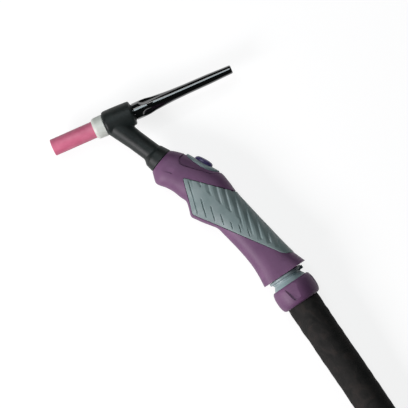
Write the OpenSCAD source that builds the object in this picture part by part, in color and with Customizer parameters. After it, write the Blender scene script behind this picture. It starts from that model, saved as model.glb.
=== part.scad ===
// TIG welding torch, gas cooled, lying on its side with its lead put away in a coil.
// Millimetres. The torch is drawn in the handle's own plane: u runs along the handle from
// the front mouth to the lead, v towards the switch, w out of the side that lies upwards.

/* [Head] */
// Angle between the head axis and the handle axis, in degrees
head_angle = 65.9; // [60:0.1:72]
// Outer diameter of the ceramic gas nozzle
nozzle_d = 17.3; // [16:0.1:19]
// Length of the ceramic gas nozzle
nozzle_len = 47.6; // [40:0.1:50]
// Bore of the ceramic gas nozzle at its mouth
nozzle_bore_d = 12.7; // [10:0.1:13.5]
// Diameter of the white heat shield
shield_d = 22.4; // [21:0.1:24]
// Diameter of the rubber barrel round the head
barrel_d = 26.8; // [25:0.1:28]
// Diameter of the tungsten electrode
electrode_d = 2.4; // [1.6:0.8:3.2]
// Length of the tungsten electrode
electrode_len = 175; // [150:1:175]
// Diameter of the long back cap where it meets the head
cap_d = 17.6; // [17:0.1:19]
// Diameter of the long back cap at its tip
cap_tip_d = 9.0; // [8.5:0.1:10]

/* [Neck] */
// Angle between the neck and the handle axis, in degrees
neck_angle = 5.8; // [4:0.1:8]
// Diameter of the rubber covered neck
neck_d = 20; // [18:0.1:21]
// Diameter of the boot where the neck enters the handle
boot_d = 28.2; // [27:0.1:28.4]

/* [Handle] */
// How far the grip pads stand proud of the shell
pad_proud = 0.5; // [0.3:0.1:1]
// Wall thickness of the handle shell
shell_wall = 2.6; // [2:0.1:3]
// Pitch of the grip pad's slanting flutes
flute_pitch = 7.45; // [7:0.05:8]
// Width of one flute
flute_w = 2.2; // [1.5:0.1:3]
// Travel of the switch button
button_travel = 1.2; // [0.8:0.1:1.4]

/* [Swivel] */
// Angle of the swivel and the lead below the handle axis, in degrees
tail_angle = -13.7; // [-16:0.1:-11]
// Diameter of the ball in the swivel
ball_d = 39; // [38:0.1:39.4]
// Largest diameter of the swivel collar
collar_d = 45; // [44:0.1:46]
// Running clearance of the ball in its socket, on the radius
socket_gap = 0.3; // [0.2:0.05:0.4]

/* [Lead] */
// Diameter of the leather sleeve over the first stretch of the lead
sleeve_d = 33.8; // [32:0.1:34]
// Diameter of the power and gas cable
cable_d = 14; // [12:0.1:14]
// Diameter of the switch cable
switch_cable_d = 5; // [4:0.1:5]
// Diameter of the contact pin of the power connector
connector_pin_d = 13; // [13:0.1:13]
// Turns of cable in each of the coil's two layers
coil_turns = 2.79; // [2.7:0.01:2.85]

/* [Hidden] */
$fn = 64;

// The torch's place over the origin, and the height of its middle plane over the floor
origin_u = 54.13;
origin_v = 25.24;
rest_h = collar_d / 2;

// ---------------------------------------------------------------- frames
head_u = -63;
head_v = -2.7;
neck_root_t = -2.6;                      // where the neck meets the head axis
neck_u = head_u + neck_root_t * cos(head_angle);
neck_v = head_v + neck_root_t * sin(head_angle);
switch_u = 32;
switch_v = 26.5;
switch_angle = 13;
tail_u = 165.1;
tail_v = -0.2;

module at_torch() translate([-origin_u, -origin_v, rest_h]) children();

// Local Z runs along the head, from the nozzle's side towards the back cap
module on_head(t = 0)
    at_torch() translate([head_u, head_v, 0]) rotate([0, 0, head_angle])
        rotate([0, 90, 0]) translate([0, 0, t]) children();

// Local Z runs from the head along the neck into the handle
module on_neck(t = 0)
    at_torch() translate([neck_u, neck_v, 0]) rotate([0, 0, neck_angle])
        rotate([0, 90, 0]) translate([0, 0, t]) children();

// Local Z runs out of the handle along the lead
module on_tail(t = 0)
    at_torch() translate([tail_u, tail_v, 0]) rotate([0, 0, tail_angle])
        rotate([0, 90, 0]) translate([0, 0, t]) children();

// Local Z points out of the handle at the switch, X runs along the handle
module on_switch(h = 0)
    at_torch() translate([switch_u, switch_v, 0]) rotate([0, 0, switch_angle])
        rotate([-90, 0, 0]) translate([0, 0, h]) children();

module tube(r_out, r_in, len)
    difference() {
        cylinder(r = r_out, h = len);
        translate([0, 0, -1]) cylinder(r = r_in, h = len + 2);
    }

// ---------------------------------------------------------------- head
nozzle_tip_t = -66.5;
shield_front_t = -21;
barrel_front_t = -9;
barrel_rear_t = 21.5;
nozzle_seat = nozzle_tip_t + nozzle_len - shield_front_t;   // how deep the nozzle enters the shield
body_r = 6.4;                            // collet body, outside
electrode_set_back = 7;                  // the tip waits this far inside the nozzle's mouth
core_r = 9.5;
core_front_t = -7;
core_rear_t = 19.5;
cap_stem_r = 4.7;
cap_shoulder_r = 6.4;
cap_front_t = 22.9;
cap_rear_t = 129.5;
seal_r = 0.8;

module nozzle()
    color("#d9668f") on_head(nozzle_tip_t) rotate_extrude()
        difference() {
            union() {
                translate([0, 1.2]) square([nozzle_d / 2, nozzle_len - 2.4]);
                square([nozzle_d / 2 - 1.2, nozzle_len]);
                for (end = [1.2, nozzle_len - 1.2])
                    translate([nozzle_d / 2 - 1.2, end]) circle(r = 1.2, $fn = 32);
            }
            translate([-1, -1]) square([nozzle_bore_d / 2 + 1, 26]);
            translate([-1, 20]) square([body_r + 0.05 + 1, nozzle_len]);
            translate([0, 0])
                polygon([[0, -1], [nozzle_bore_d / 2 + 0.9, -1], [nozzle_bore_d / 2, 0.9], [0, 0.9]]);
        }

module heat_shield()
    color("#e4e8e0") on_head(shield_front_t) rotate_extrude()
        difference() {
            union() {
                translate([0, 3]) square([shield_d / 2, barrel_front_t - shield_front_t - 3.3]);
                square([shield_d / 2 - 3, barrel_front_t - shield_front_t - 0.3]);
                translate([shield_d / 2 - 3, 3]) circle(r = 3);
                square([core_r - 0.3, core_front_t - shield_front_t - 0.2]);
            }
            translate([-1, -1]) square([body_r + 0.15 + 1, 20]);
            translate([-1, -1]) square([nozzle_d / 2 + 0.1 + 1, nozzle_seat + 1.1]);
        }

module collet_body() {
    tip_t = -44;
    hole_t = -38.5;
    bore_r = 2.6;
    color("#b8895a") difference() {
        union() {
            on_head(tip_t + 3) cylinder(r = body_r - 1.6, h = 12);
            on_head(tip_t) cylinder(r1 = 3, r2 = body_r - 1.6, h = 3);
            on_head(-34) cylinder(r = body_r, h = 26.8);
            on_head(-9) cylinder(r = body_r - 0.6, h = 10.9);
        }
        on_head(tip_t - 1) cylinder(r = electrode_d / 2 + 0.1, h = 60);
        on_head(tip_t + 3) cylinder(r = bore_r, h = 60);
        for (turn = [0, 90])
            on_head(hole_t) rotate([0, 90, turn]) cylinder(r = 0.9, h = 20, center = true, $fn = 24);
    }
}

module collet() {
    front_t = -40.9;
    len = 49;
    color("#c77d4f") difference() {
        on_head(front_t) cylinder(r = 2.5, h = len);
        on_head(front_t - 1) cylinder(r = electrode_d / 2 + 0.05, h = len + 2);
        for (turn = [0, 90])
            on_head(front_t + 7) rotate([0, 0, turn]) cube([10, 0.5, 15], center = true);
    }
}

module electrode() {
    grind = 7;
    tip_t = nozzle_tip_t + electrode_set_back;
    color("#b9bcc2") {
        on_head(tip_t + grind) cylinder(r = electrode_d / 2, h = electrode_len - grind);
        on_head(tip_t) cylinder(r1 = 0.25, r2 = electrode_d / 2, h = grind);
    }
}

module head_core()
    color("#b8955a") difference() {
        union() {
            on_head(core_front_t) cylinder(r = core_r, h = core_rear_t - core_front_t);
            on_neck(4) cylinder(r = 7, h = 12);
        }
        on_head(core_front_t - 1) cylinder(r = body_r - 0.3, h = 10);
        on_head(core_front_t) cylinder(r = 3.3, h = 40);
        on_head(8.5) cylinder(r = cap_stem_r + 0.05, h = 20);
        on_neck() cylinder(r = 3.2, h = 20);
    }

module barrel_profile() {
    nose = 1.5;
    corner = 3.4;
    lip = 0.9;
    difference() {
        union() {
            translate([0, barrel_front_t + nose])
                square([barrel_d / 2, barrel_rear_t - barrel_front_t - nose - corner]);
            polygon([
                [0, barrel_front_t], [barrel_d / 2 - nose, barrel_front_t],
                [barrel_d / 2, barrel_front_t + nose], [0, barrel_front_t + nose]
            ]);
            translate([0, barrel_rear_t - corner]) square([barrel_d / 2 - corner, corner]);
            translate([barrel_d / 2 - corner, barrel_rear_t - corner]) circle(r = corner);
            translate([0, barrel_rear_t]) square([barrel_d / 2 - corner + 0.3, lip]);
        }
        translate([-1, core_front_t]) square([core_r + 1, core_rear_t - core_front_t]);
        translate([-1, barrel_front_t - 1]) square([core_r + 1, 10]);
        translate([-1, barrel_rear_t - 5]) square([cap_shoulder_r + 0.25 + 1, 10]);
    }
}

neck_len = 78;                           // covered length of the neck, from the head axis
flare_t = 50.2;                          // where the boot starts to swell
flare_shift = -1.25;                     // the boot sits this far below the neck's own axis
mouth_lean = 2.45;                       // lean of the handle's front face, in degrees

module neck_boot_profile() {
    swell = 4.2;
    shoulder_r = 2.6;
    mouth_t = 66.4 - flare_t;
    top_r = boot_d / 2 - 0.9;
    union() {
        square([neck_d / 2 - 1.6, mouth_t]);
        difference() {
            square([top_r - shoulder_r, swell + 0.4]);
            translate([neck_d / 2 + 1.9, -0.9]) circle(r = 3.6);
        }
        translate([top_r - shoulder_r, swell + shoulder_r - 0.9]) circle(r = shoulder_r);
        polygon([
            [0, swell], [top_r - shoulder_r, swell], [top_r, swell + shoulder_r - 0.9],
            [boot_d / 2, 64 - flare_t], [boot_d / 2, mouth_t], [0, mouth_t]
        ]);
    }
}

module head_cover()
    color("#1d2322") difference() {
        union() {
            on_head() rotate_extrude() barrel_profile();
            difference() {
                union() {
                    on_neck() cylinder(r = neck_d / 2, h = neck_len);
                    // the boot ends just in front of the handle's mouth, its spigot inside it
                    difference() {
                        on_neck(flare_t) translate([0, flare_shift, 0]) rotate_extrude() neck_boot_profile();
                        at_torch() rotate([0, 0, mouth_lean]) translate([-0.3, -40, -40]) cube([30, 80, 80]);
                    }
                    on_neck(flare_t) translate([0, flare_shift, 0]) cylinder(r = 13, h = 16.2);
                }
                on_head(-30) cylinder(r = core_r, h = 80);
            }
        }
        on_neck() cylinder(r = 7, h = 16);
        on_neck(10) cylinder(r = 6, h = 80);
    }

tube_end_t = 112;                        // end of the copper neck tube inside the handle

module neck_tube()
    color("#b87345") on_neck(16) tube(6, 3.2, tube_end_t - 16);

module neck_coupling()
    color("#b8955a") difference() {
        union() {
            on_neck(tube_end_t) cylinder(r = 7.4, h = 6);
            on_neck(tube_end_t + 6) cylinder(r = 8, h = 10, $fn = 6);
            on_neck(tube_end_t + 16) cylinder(r = 6.2, h = 4);
        }
        on_neck(tube_end_t - 1) cylinder(r = 3.2, h = 18);
    }

// ---------------------------------------------------------------- back cap
module cap_profile() {
    skin = 2.6;
    polygon([
        [0, 0.7], [cap_d / 2 - 0.7, 0], [cap_d / 2, 0.7], [cap_d / 2 + 0.1, 8], [cap_d / 2 - 0.3, 15],
        [7.5, 21.4], [6.5, 33.4], [6.0, 41.4], [5.5, 57.1], [5.25, 81.1],
        [cap_tip_d / 2 + 0.2, 97.1], [cap_tip_d / 2, 105.4], [cap_tip_d / 2 - 0.8, 106.6], [0, 106.6]
    ]);
    translate([0, -1.5]) square([cap_shoulder_r, 3]);
    translate([0, -11]) square([cap_stem_r, 13]);
}

module back_cap() {
    flutes = 4;
    flute_r = 11;                        // each one is a broad, shallow channel
    flute_floor = 6.9;
    bore_r = 2.1;
    color("#0b0d0e") difference() {
        on_head(cap_front_t) rotate_extrude() cap_profile();
        on_head(cap_front_t - 12) cylinder(r = bore_r, h = 12 + 96);
        for (k = [0 : flutes - 1])
            on_head(cap_front_t + 13.5) rotate([0, 0, (k + 0.5) * 360 / flutes])
                translate([flute_floor + flute_r, 0, 0]) rotate([0, -1.5, 0]) {
                    sphere(r = flute_r, $fn = 72);
                    cylinder(r = flute_r, h = 36, $fn = 72);
                }
    }
}

module back_cap_seal()
    color("#181a1b") on_head(core_rear_t + seal_r + 0.05) rotate_extrude()
        translate([cap_stem_r + 0.05 + seal_r, 0]) circle(r = seal_r, $fn = 32);

// ---------------------------------------------------------------- handle
// One row per section: its top point, its bottom point, half its width, and the power of
// its rounded outline above and below the middle.
sections = [
    [[-0.6, 14.0], [0.6, -14.0], 14.0, 2.1, 2.1],
    [[1.8, 15.7], [3.0, -15.6], 15.2, 2.2, 2.2],
    [[7.0, 18.6], [6.6, -17.9], 16.4, 2.3, 2.3],
    [[12.5, 21.3], [10.4, -19.8], 17.4, 2.3, 2.4],
    [[17.5, 22.9], [13.8, -19.5], 17.9, 2.2, 2.5],
    [[23.0, 24.7], [21.0, -16.5], 18.0, 2.1, 2.5],
    [[29.0, 26.4], [28.5, -14.5], 17.9, 2.1, 2.4],
    [[38.3, 28.6], [38.0, -13.8], 17.7, 2.1, 2.3],
    [[46.0, 30.2], [45.9, -13.1], 17.8, 2.2, 2.3],
    [[50.5, 31.4], [49.4, -14.7], 18.1, 2.3, 2.4],
    [[54.5, 31.8], [54.0, -17.7], 18.5, 2.4, 2.4],
    [[60.5, 31.0], [59.6, -20.9], 18.9, 2.5, 2.4],
    [[66.1, 30.1], [65.5, -19.4], 19.0, 2.5, 2.3],
    [[73.0, 28.6], [72.5, -17.2], 18.7, 2.5, 2.3],
    [[80.0, 27.2], [79.0, -14.6], 18.2, 2.5, 2.3],
    [[88.0, 26.5], [86.8, -11.8], 17.6, 2.5, 2.3],
    [[98.0, 25.7], [97.0, -12.0], 17.2, 2.5, 2.3],
    [[109.0, 24.8], [107.6, -12.6], 17.2, 2.5, 2.3],
    [[122.0, 23.9], [119.0, -13.4], 17.8, 2.6, 2.4],
    [[134.0, 23.0], [130.0, -14.7], 18.6, 2.7, 2.5],
    [[147.0, 22.2], [140.5, -16.6], 19.5, 2.8, 2.6],
    [[158.5, 21.9], [150.5, -19.5], 20.4, 3.0, 2.8],
    [[172.6, 23.4], [161.2, -23.4], 21.4, 3.2, 3.0]
];
ring_sides = 32;

function sign_power(x, p) = sign(x) * pow(abs(x), p);

// One ring of the handle: a rounded outline between a section's top and bottom points
function ring(row, grow) = let (
    top = row[0] + [0, grow],
    low = row[1] - [0, grow],
    half = row[2] + grow
) [
    for (k = [0 : ring_sides - 1]) let (
        a = (k + 0.5) * 360 / ring_sides,
        p = 2 / (sin(a) > 0 ? row[3] : row[4]),
        f = (1 + sign_power(sin(a), p)) / 2,
        mid = low + (top - low) * f
    ) [mid[0], mid[1], half * sign_power(cos(a), p)]
];

// Closed skin over rings of equal count, with flat ends and triangular faces
module skin(rings) {
    n = len(rings[0]);
    last = len(rings) - 1;
    sides = [
        for (i = [0 : last - 1], k = [0 : n - 1]) let (
            a = i * n + k,
            b = i * n + (k + 1) % n
        ) each [[a, b, a + n], [b, b + n, a + n]]
    ];
    caps = concat(
        [for (k = [1 : n - 2]) [0, k + 1, k]],
        [for (k = [1 : n - 2]) [last * n, last * n + k, last * n + k + 1]]
    );
    polyhedron(points = [for (r = rings) each r], faces = concat(sides, caps));
}

// The handle's outer form, swollen by grow, over the sections from first to last
module handle_form(grow = 0, first = 0, last = len(sections) - 1)
    skin([for (i = [first : last]) ring(sections[i], grow)]);

// A side view outline, pushed through the whole handle
module through_handle(outline)
    translate([0, 0, -30]) linear_extrude(60) polygon(outline);

pad_outline = [
    [27.1, 2.3], [76.4, 28.0], [84, 40], [163, 30], [157.9, 21.4], [154.1, 16.9], [150.4, 14.5],
    [60.4, -17.7], [58.4, -17.3]
];
saddle_outline = [
    [10.5, 30], [10.5, 15], [12, 12.6], [16.8, 10.3], [39.4, 22.7], [50.8, 30.4], [53, 40]
];
saddle_step = 0.7;
pad_depth = 1.6;
pad_gap = 0.3;

// Screw places along and across the handle
screw_places = [[9, -11], [32, -9.5], [51, 23.8], [108, -7.5], [146, -12]];

// The skin between two depths of the handle's form
module handle_layer(outer, inner)
    difference() {
        handle_form(outer);
        handle_form(inner);
    }

module oval(half_len, half_w, h)
    scale([half_len, half_w, 1]) cylinder(r = 1, h = h, $fn = 48);

// The hollow of the handle, along u; its two ends are solid round the boot and the swivel
cavity_from = 7;
cavity_to = 133;
bezel_half = [18.6, 11.4];
button_half = [9.8, 6.0];

module shell_both() {
    difference() {
        union() {
            difference() {
                handle_form();
                intersection() {
                    handle_form(-shell_wall);
                    translate([cavity_from, -60, -40]) cube([cavity_to - cavity_from, 120, 80]);
                }
            }
            for (place = screw_places)
                hull() {
                    translate([place[0], place[1], -12]) cylinder(r = 3.8, h = 24, $fn = 20);
                    translate([place[0], place[1], -10]) cylinder(r = 4.3, h = 20, $fn = 20);
                }
        }
        intersection() {
            through_handle(saddle_outline);
            handle_layer(2, -saddle_step);
        }
        intersection() {
            translate([0, 0, -30]) linear_extrude(60) offset(delta = pad_gap) polygon(pad_outline);
            handle_layer(3, -pad_depth - 0.05);
        }
    }
}

module shell_cuts() {
    $fn = 40;
    // neck, boot and its tube
    on_neck(-10) cylinder(r = neck_d / 2 + 0.3, h = neck_len + 11);
    on_neck(40) translate([0, flare_shift, 0]) cylinder(r = 13.4, h = 27);
    on_neck(60) cylinder(r = 6.6, h = 80);
    on_neck(tube_end_t - 2) cylinder(r = 8.6, h = 26);
    // ball stem with its clamping flange
    on_tail(-14.4) cylinder(r = 14.9, h = 40);
    on_tail(-10.4) cylinder(r = 18.0, h = 4.8);
    on_tail(-70) cylinder(r = 9.6, h = 100);
    // switch pocket and the button's way through the wall
    on_switch(-6) oval(button_half[0] + 0.9, button_half[1] + 0.9, 20);
    on_switch(-12.4) translate([-6.8, -3.3, 0]) cube([13.6, 6.6, 12]);
    // bezel seat
    intersection() {
        on_switch(-3) oval(bezel_half[0] + 0.1, bezel_half[1] + 0.1, 20);
        at_torch() handle_layer(4, -1.7);
    }
}

module screw_holes()
    for (place = screw_places)
        at_torch() translate([place[0], place[1], 0]) {
            translate([0, 0, -13]) cylinder(r = 1.7, h = 21, $fn = 24);
            hull() {
                translate([0, 0, -30]) cylinder(r = 3.6, h = 6, $fn = 24);
                translate([0, 0, -13]) cylinder(r = 3.3, h = 1, $fn = 24);
            }
        }

// Half of the shell: side is 1 for the half that lies upwards, -1 for the other
module handle_shell(side)
    color("#6b4372") difference() {
        intersection() {
            at_torch() shell_both();
            translate([-300, -300, side > 0 ? rest_h : rest_h - 60]) cube([600, 600, 60]);
        }
        shell_cuts();
        screw_holes();
    }

module handle_shell_left() handle_shell(1);
module handle_shell_right() handle_shell(-1);

// Slanting flutes with round ends, cut between the pad's two long edges. A smooth band is
// left along the middle of each pad.
flute_angle = -32.4;
flute_count = 10;
flute_first = 21.4;                      // distance of the first flute across their direction
flute_depth = 0.8;
along = [cos(flute_angle), sin(flute_angle)];
across = [-sin(flute_angle), cos(flute_angle)];
band_outline = [[38, -1.0], [92, 2.2], [99, 4.2], [101, 7.6], [97, 10.8], [38, 7.6]];

// How far along a flute an edge lies, less an inset; the edge runs from p to q
function edge_at(d, p, q, inset) = let (n = [p[1] - q[1], q[0] - p[0]] / norm(q - p))
    (inset - (d * across - p) * n) / (along * n);

module flutes()
    for (k = [0 : flute_count - 1]) let (
        d = flute_first + k * flute_pitch,
        start = d * across + edge_at(d, [76.4, 28.0], [27.1, 2.3], 1.4) * along,
        end = d * across + edge_at(d, [60.4, -17.7], [150.4, 14.5], 4.2) * along
    )
        hull() {
            for (p = [start, end])
                translate([p[0], p[1], -30]) cylinder(r = flute_w / 2, h = 60, $fn = 12);
        }

module grip_pad(side)
    color("#7d8f8d") at_torch() intersection() {
        translate([-300, -300, side > 0 ? 0.02 : -60]) cube([600, 600, 59.98]);
        difference() {
            intersection() {
                through_handle(pad_outline);
                handle_layer(pad_proud, -pad_depth);
            }
            intersection() {
                difference() {
                    flutes();
                    through_handle(band_outline);
                }
                handle_layer(3, pad_proud - flute_depth);
            }
        }
    }

module grip_pad_left() grip_pad(1);
module grip_pad_right() grip_pad(-1);

// ---------------------------------------------------------------- switch
bezel_proud = 0.8;

module switch_bezel()
    color("#93aaa9") difference() {
        intersection() {
            at_torch() handle_layer(bezel_proud, -1.6);
            on_switch(-3) oval(bezel_half[0], bezel_half[1], 20);
        }
        on_switch(-10) oval(button_half[0] + 0.3, button_half[1] + 0.3, 40);
    }

module switch_button()
    color("#2e1b4a") {
        on_switch(-2.2) hull() {
            oval(button_half[0], button_half[1], 5.4);
            translate([0, 0, 5.4]) oval(button_half[0] - 1.2, button_half[1] - 1, 1.2);
            translate([0.5, 0, 7]) oval(button_half[0] - 4.5, button_half[1] - 3, 0.2);
        }
        on_switch(-4) cylinder(r = 2, h = 3);
        on_switch(-6.4) cylinder(r = 0.9, h = 3);
    }

module microswitch()
    color("#23262a") difference() {
        on_switch(-12) translate([-6.4, -2.9, 0]) cube([12.8, 5.8, 6.5]);
        on_switch(-9) cylinder(r = 1, h = 10);
        for (x = [-4, 4])
            on_switch(-10.5) translate([x, 0, 0]) rotate([90, 0, 0])
                cylinder(r = 0.8, h = 20, center = true, $fn = 24);
    }

cable_bend_t = -54.9;                    // where the inner cable bends, along the lead's line
neck_bend_t = 176.8;                     // the same place along the neck's line
wire_r = 0.7;
wire_rise = 8.3;                         // how far the wires lie from the cable's axis

module switch_wires()
    color("#8a2a2a") for (x = [-0.95, 0.95]) {
        on_neck(104.4) translate([x, wire_rise, 0]) rotate([-90, 0, 0]) cylinder(r = wire_r, h = 1.9, $fn = 24);
        on_neck(104.4) translate([x, wire_rise, 0]) sphere(r = wire_r + 0.05, $fn = 24);
        on_neck(104.4) translate([x, wire_rise, 0]) cylinder(r = wire_r, h = neck_bend_t - 104.4, $fn = 24);
        on_neck(neck_bend_t) translate([x, wire_rise, 0]) sphere(r = wire_r + 0.05, $fn = 24);
        on_tail(cable_bend_t) translate([x, wire_rise, 0]) cylinder(r = wire_r, h = 30 - cable_bend_t, $fn = 24);
    }

module shell_screws()
    color("#8d9196") for (place = screw_places)
        at_torch() translate([place[0], place[1], 0]) difference() {
            union() {
                translate([0, 0, -12.1]) cylinder(r = 1.6, h = 19, $fn = 24);
                translate([0, 0, -14.1]) cylinder(r = 2.9, h = 2, $fn = 32);
            }
            translate([0, 0, -14.6]) cylinder(r = 1.4, h = 1.7, $fn = 6);
        }

module inner_power_cable() {
    start_t = tube_end_t + 20;
    color("#202224") {
        on_neck(start_t) cylinder(r = 7, h = neck_bend_t - start_t);
        on_tail(cable_bend_t) sphere(r = 7.3);
        on_tail(cable_bend_t) cylinder(r = 7, h = 33 - cable_bend_t);
    }
}

// ---------------------------------------------------------------- swivel
ball_t = 20;
ball_r = ball_d / 2;
ball_end_t = 33;
waist_r = 15.3;

module swivel_ball()
    color("#93aaa9") difference() {
        union() {
            on_tail(-14) cylinder(r = 14.5, h = 16);
            on_tail(-10) cylinder(r = 17.6, h = 4);
            on_tail(2) rotate_extrude() {
                square([16.6, 3.2]);
                translate([16.6, 1.6]) circle(r = 1.6, $fn = 32);
                square([waist_r + 0.6, 5]);
                square([waist_r, 8]);
            }
            intersection() {
                on_tail(ball_t) sphere(r = ball_r);
                on_tail(8) cylinder(r = 30, h = ball_end_t - 8);
            }
            // stop lug on the switch side
            on_tail(3.4) translate([-4, 14, 0]) cube([8, 5.4, 3.4]);
        }
        on_tail(-20) cylinder(r = 10, h = 80);
    }

module sleeve_clamp()
    color("#3b3f42") difference() {
        on_tail(30.6) tube(16.5, 11, 7.4);
        on_tail(ball_t) sphere(r = ball_r + socket_gap);
    }

module swivel_collar() {
    front_t = 12.3;
    r = collar_d / 2;
    socket_r = ball_r + socket_gap;
    recess_floor = r - 1.1;
    color("#6b4372") difference() {
        on_tail() rotate_extrude() difference() {
            polygon([
                [0, front_t], [19.6, front_t], [21.2, 13.9], [22.1, 16.3], [r, 19.2], [r, 25],
                [22.2, 28.2], [21.5, 31.4], [20.4, 33.6], [18.4, 34.6], [0, 34.6]
            ]);
            translate([0, ball_t]) circle(r = socket_r);
            translate([-1, 20]) square([17.6, 30]);
            translate([-1, 0]) square([sqrt(pow(socket_r, 2) - pow(ball_t - front_t, 2)) + 1, 14]);
        }
        for (k = [0 : 3])
            on_tail() rotate([0, 0, 85 + k * 90]) translate([recess_floor, 0, 0]) rotate([90, 0, 90])
                linear_extrude(6) polygon([
                    [-6.6, 14.9], [-5.4, 13.6], [5.4, 13.6], [6.6, 14.9], [3.9, 28.6],
                    [2.9, 29.8], [-2.9, 29.8], [-3.9, 28.6]
                ]);
    }
}

// ---------------------------------------------------------------- lead
// Smooth curve through points: steps positions from each point to the next
function curve_at(a, b, c, d, f) = 0.5 * (
    2 * b + (c - a) * f + (2 * a - 5 * b + 4 * c - d) * f * f + (3 * b - a - 3 * c + d) * f * f * f
);
function curve(points, steps) = let (n = len(points) - 1) concat(
    [
        for (i = [0 : n - 1], s = [0 : steps - 1]) let (
            a = i > 0 ? points[i - 1] : 2 * points[0] - points[1],
            d = i < n - 1 ? points[i + 2] : 2 * points[n] - points[n - 1]
        ) curve_at(a, points[i], points[i + 1], d, s / steps)
    ],
    [points[n]]
);
function unit(v) = v / norm(v);

// One ring of a tube round point i of its line, square to the line
function tube_ring(line, i, r, sides) = let (
    n = len(line) - 1,
    ahead = unit(line[min(i + 1, n)] - line[max(i - 1, 0)]),
    side = unit(cross(ahead, [0, 0, 1])),
    up = cross(side, ahead)
) [
    for (k = [0 : sides - 1]) let (a = (k + 0.5) * 360 / sides)
        line[i] + r * (cos(a) * side + sin(a) * up)
];
module tube_along(line, r, sides)
    skin([for (i = [0 : len(line) - 1]) tube_ring(line, i, r, sides)]);

// Centre line of the leather sleeve, from the collar down to the floor and round the coil
sleeve_start = [
    tail_u - origin_u + 39.4 * cos(tail_angle), tail_v - origin_v + 39.4 * sin(tail_angle), rest_h
];
sleeve_points = [
    sleeve_start, [186.9, -43.9, 21.2], [225.9, -53.2, 18.7], [265.2, -62.7, 17.2], [303.6, -71.8, 17],
    [343, -82, 17], [386, -99, 17], [422, -127, 17], [449, -164, 17], [465, -207, 17],
    [469, -253, 17], [459, -298, 17], [438, -339, 17], [406, -372, 17], [366, -395, 17],
    [321, -406, 17], [275, -404, 17], [231, -390, 17], [193, -364, 17]
];
cuff_dir = unit([-38, 26, 0]);
cuff_len = 24;

module lead_sleeve()
    color("#2b2b28") tube_along(sleeve_points, sleeve_d / 2, 12);

// Local Z runs out of the sleeve's far end
module on_cuff(t = 0)
    translate(sleeve_points[len(sleeve_points) - 1])
        rotate([0, 90, atan2(cuff_dir[1], cuff_dir[0])]) translate([0, 0, t]) children();

module sleeve_cuff()
    color("#1c1d1f") {
        on_cuff(0.2) cylinder(r = 16.8, h = 9);
        on_cuff(9.2) cylinder(r1 = 16.8, r2 = 9, h = cuff_len - 9.2);
    }

// The coil: two layers that spiral in and out again about coil_mid
coil_mid = [304, -234];
coil_low_z = 8.6;
coil_pitch = 15;
coil_in_r = 57;
coil_start = 100;
coil_layer = 14.6;                       // height between the two layers
coil_ease = 45;                          // degrees over which the spiral reverses
coil_step = 15;

function coil_point(q) = let (
    r = coil_in_r + coil_pitch * sqrt(q * q + coil_ease * coil_ease) / 360,
    a = coil_start - q - coil_turns * 360,
    climb = q < -120 ? 0 : q > 120 ? 1 : (1 + sin(q * 0.75)) / 2
) [coil_mid[0] + r * cos(a), coil_mid[1] + r * sin(a), coil_low_z + coil_layer * climb];
coil_half = coil_turns * 360;
coil_rings = round(2 * coil_half / coil_step);
coil_line = [for (i = [0 : coil_rings]) coil_point(-coil_half + 2 * coil_half * i / coil_rings)];

// Least gap between stretches of the coil that are more than half a turn apart
coil_gap = min([
    for (i = [0 : coil_rings], j = [i + 12 : 1 : coil_rings]) norm(coil_line[i] - coil_line[j])
]) - cable_d;
echo(coil_gap = coil_gap);

lead_in_points = [
    [171.8, -349.3, 17], [159.6, -337.4, 16.2], [150.3, -322.4, 14.8], [145.3, -305.3, 13.1],
    [144.9, -287, 11.5], [147.8, -268.5, 10.2], [153.8, -250.5, 9.2], [162.6, -233, 8.7],
    [179.5, -204.5, 8.6], [202.7, -177, 8.6], [229, -156, 8.6], [257.5, -142.8, 8.6],
    coil_point(-coil_half) + [-0.8, -0.1, 0]
];
tail_points = [
    coil_point(coil_half) + [-0.8, 0.3, 0], [245, -318.6, 23.5], [218, -309.4, 24.5],
    [190, -300.1, 26], [165, -293.8, 27.1], [146.6, -292.9, 26.9], [129.1, -296.4, 24.6],
    [112.5, -303.4, 20.5], [97, -310.8, 16.8], [83.2, -317.3, 15]
];

module cable_lead_in() color("#17191b") tube_along(curve(lead_in_points, 2), cable_d / 2, 8);
module cable_coil() color("#17191b") tube_along(coil_line, cable_d / 2, 6);
module cable_tail() color("#17191b") tube_along(curve(tail_points, 2), cable_d / 2, 8);

module round_rect(w, h, r) {
    square([w - 2 * r, h], center = true);
    square([w, h - 2 * r], center = true);
    for (x = [-1, 1], y = [-1, 1])
        translate([x * (w / 2 - r), y * (h / 2 - r)]) circle(r = r, $fn = 32);
}

// Hook and loop straps round the bundle: the angle of each, and the radii it reaches round
strap_places = [[60, 54.6, 104.8], [-30, 56.1, 103.2]];
strap_t = 1.2;
strap_w = 18;
strap_room = 29.4;                       // height of the two layers inside the strap

module coil_straps()
    color("#3a3d40") for (s = strap_places)
        translate([coil_mid[0], coil_mid[1], 0]) rotate([0, 0, s[0]])
            translate([(s[1] + s[2]) / 2, 0, strap_room / 2 + strap_t + 0.1]) rotate([90, 0, 0])
                linear_extrude(strap_w, center = true) difference() {
                    round_rect(s[2] - s[1] + 2 * strap_t, strap_room + 2 * strap_t, 7 + strap_t);
                    round_rect(s[2] - s[1], strap_room, 7);
                }

// ---------------------------------------------------------------- connectors
plug_at = [82, -318, 15];               // where the cable enters the power connector
boot_len = 45;
plug_turn = 25;                          // its axis, from -X towards -Y
plug_body_len = 30;
pin_len = 22;

// Local Z runs along the power connector, from the cable to the pin
module on_plug(t = 0)
    translate(plug_at) rotate([0, 0, plug_turn]) rotate([0, -90, 0]) translate([0, 0, t]) children();

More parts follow.
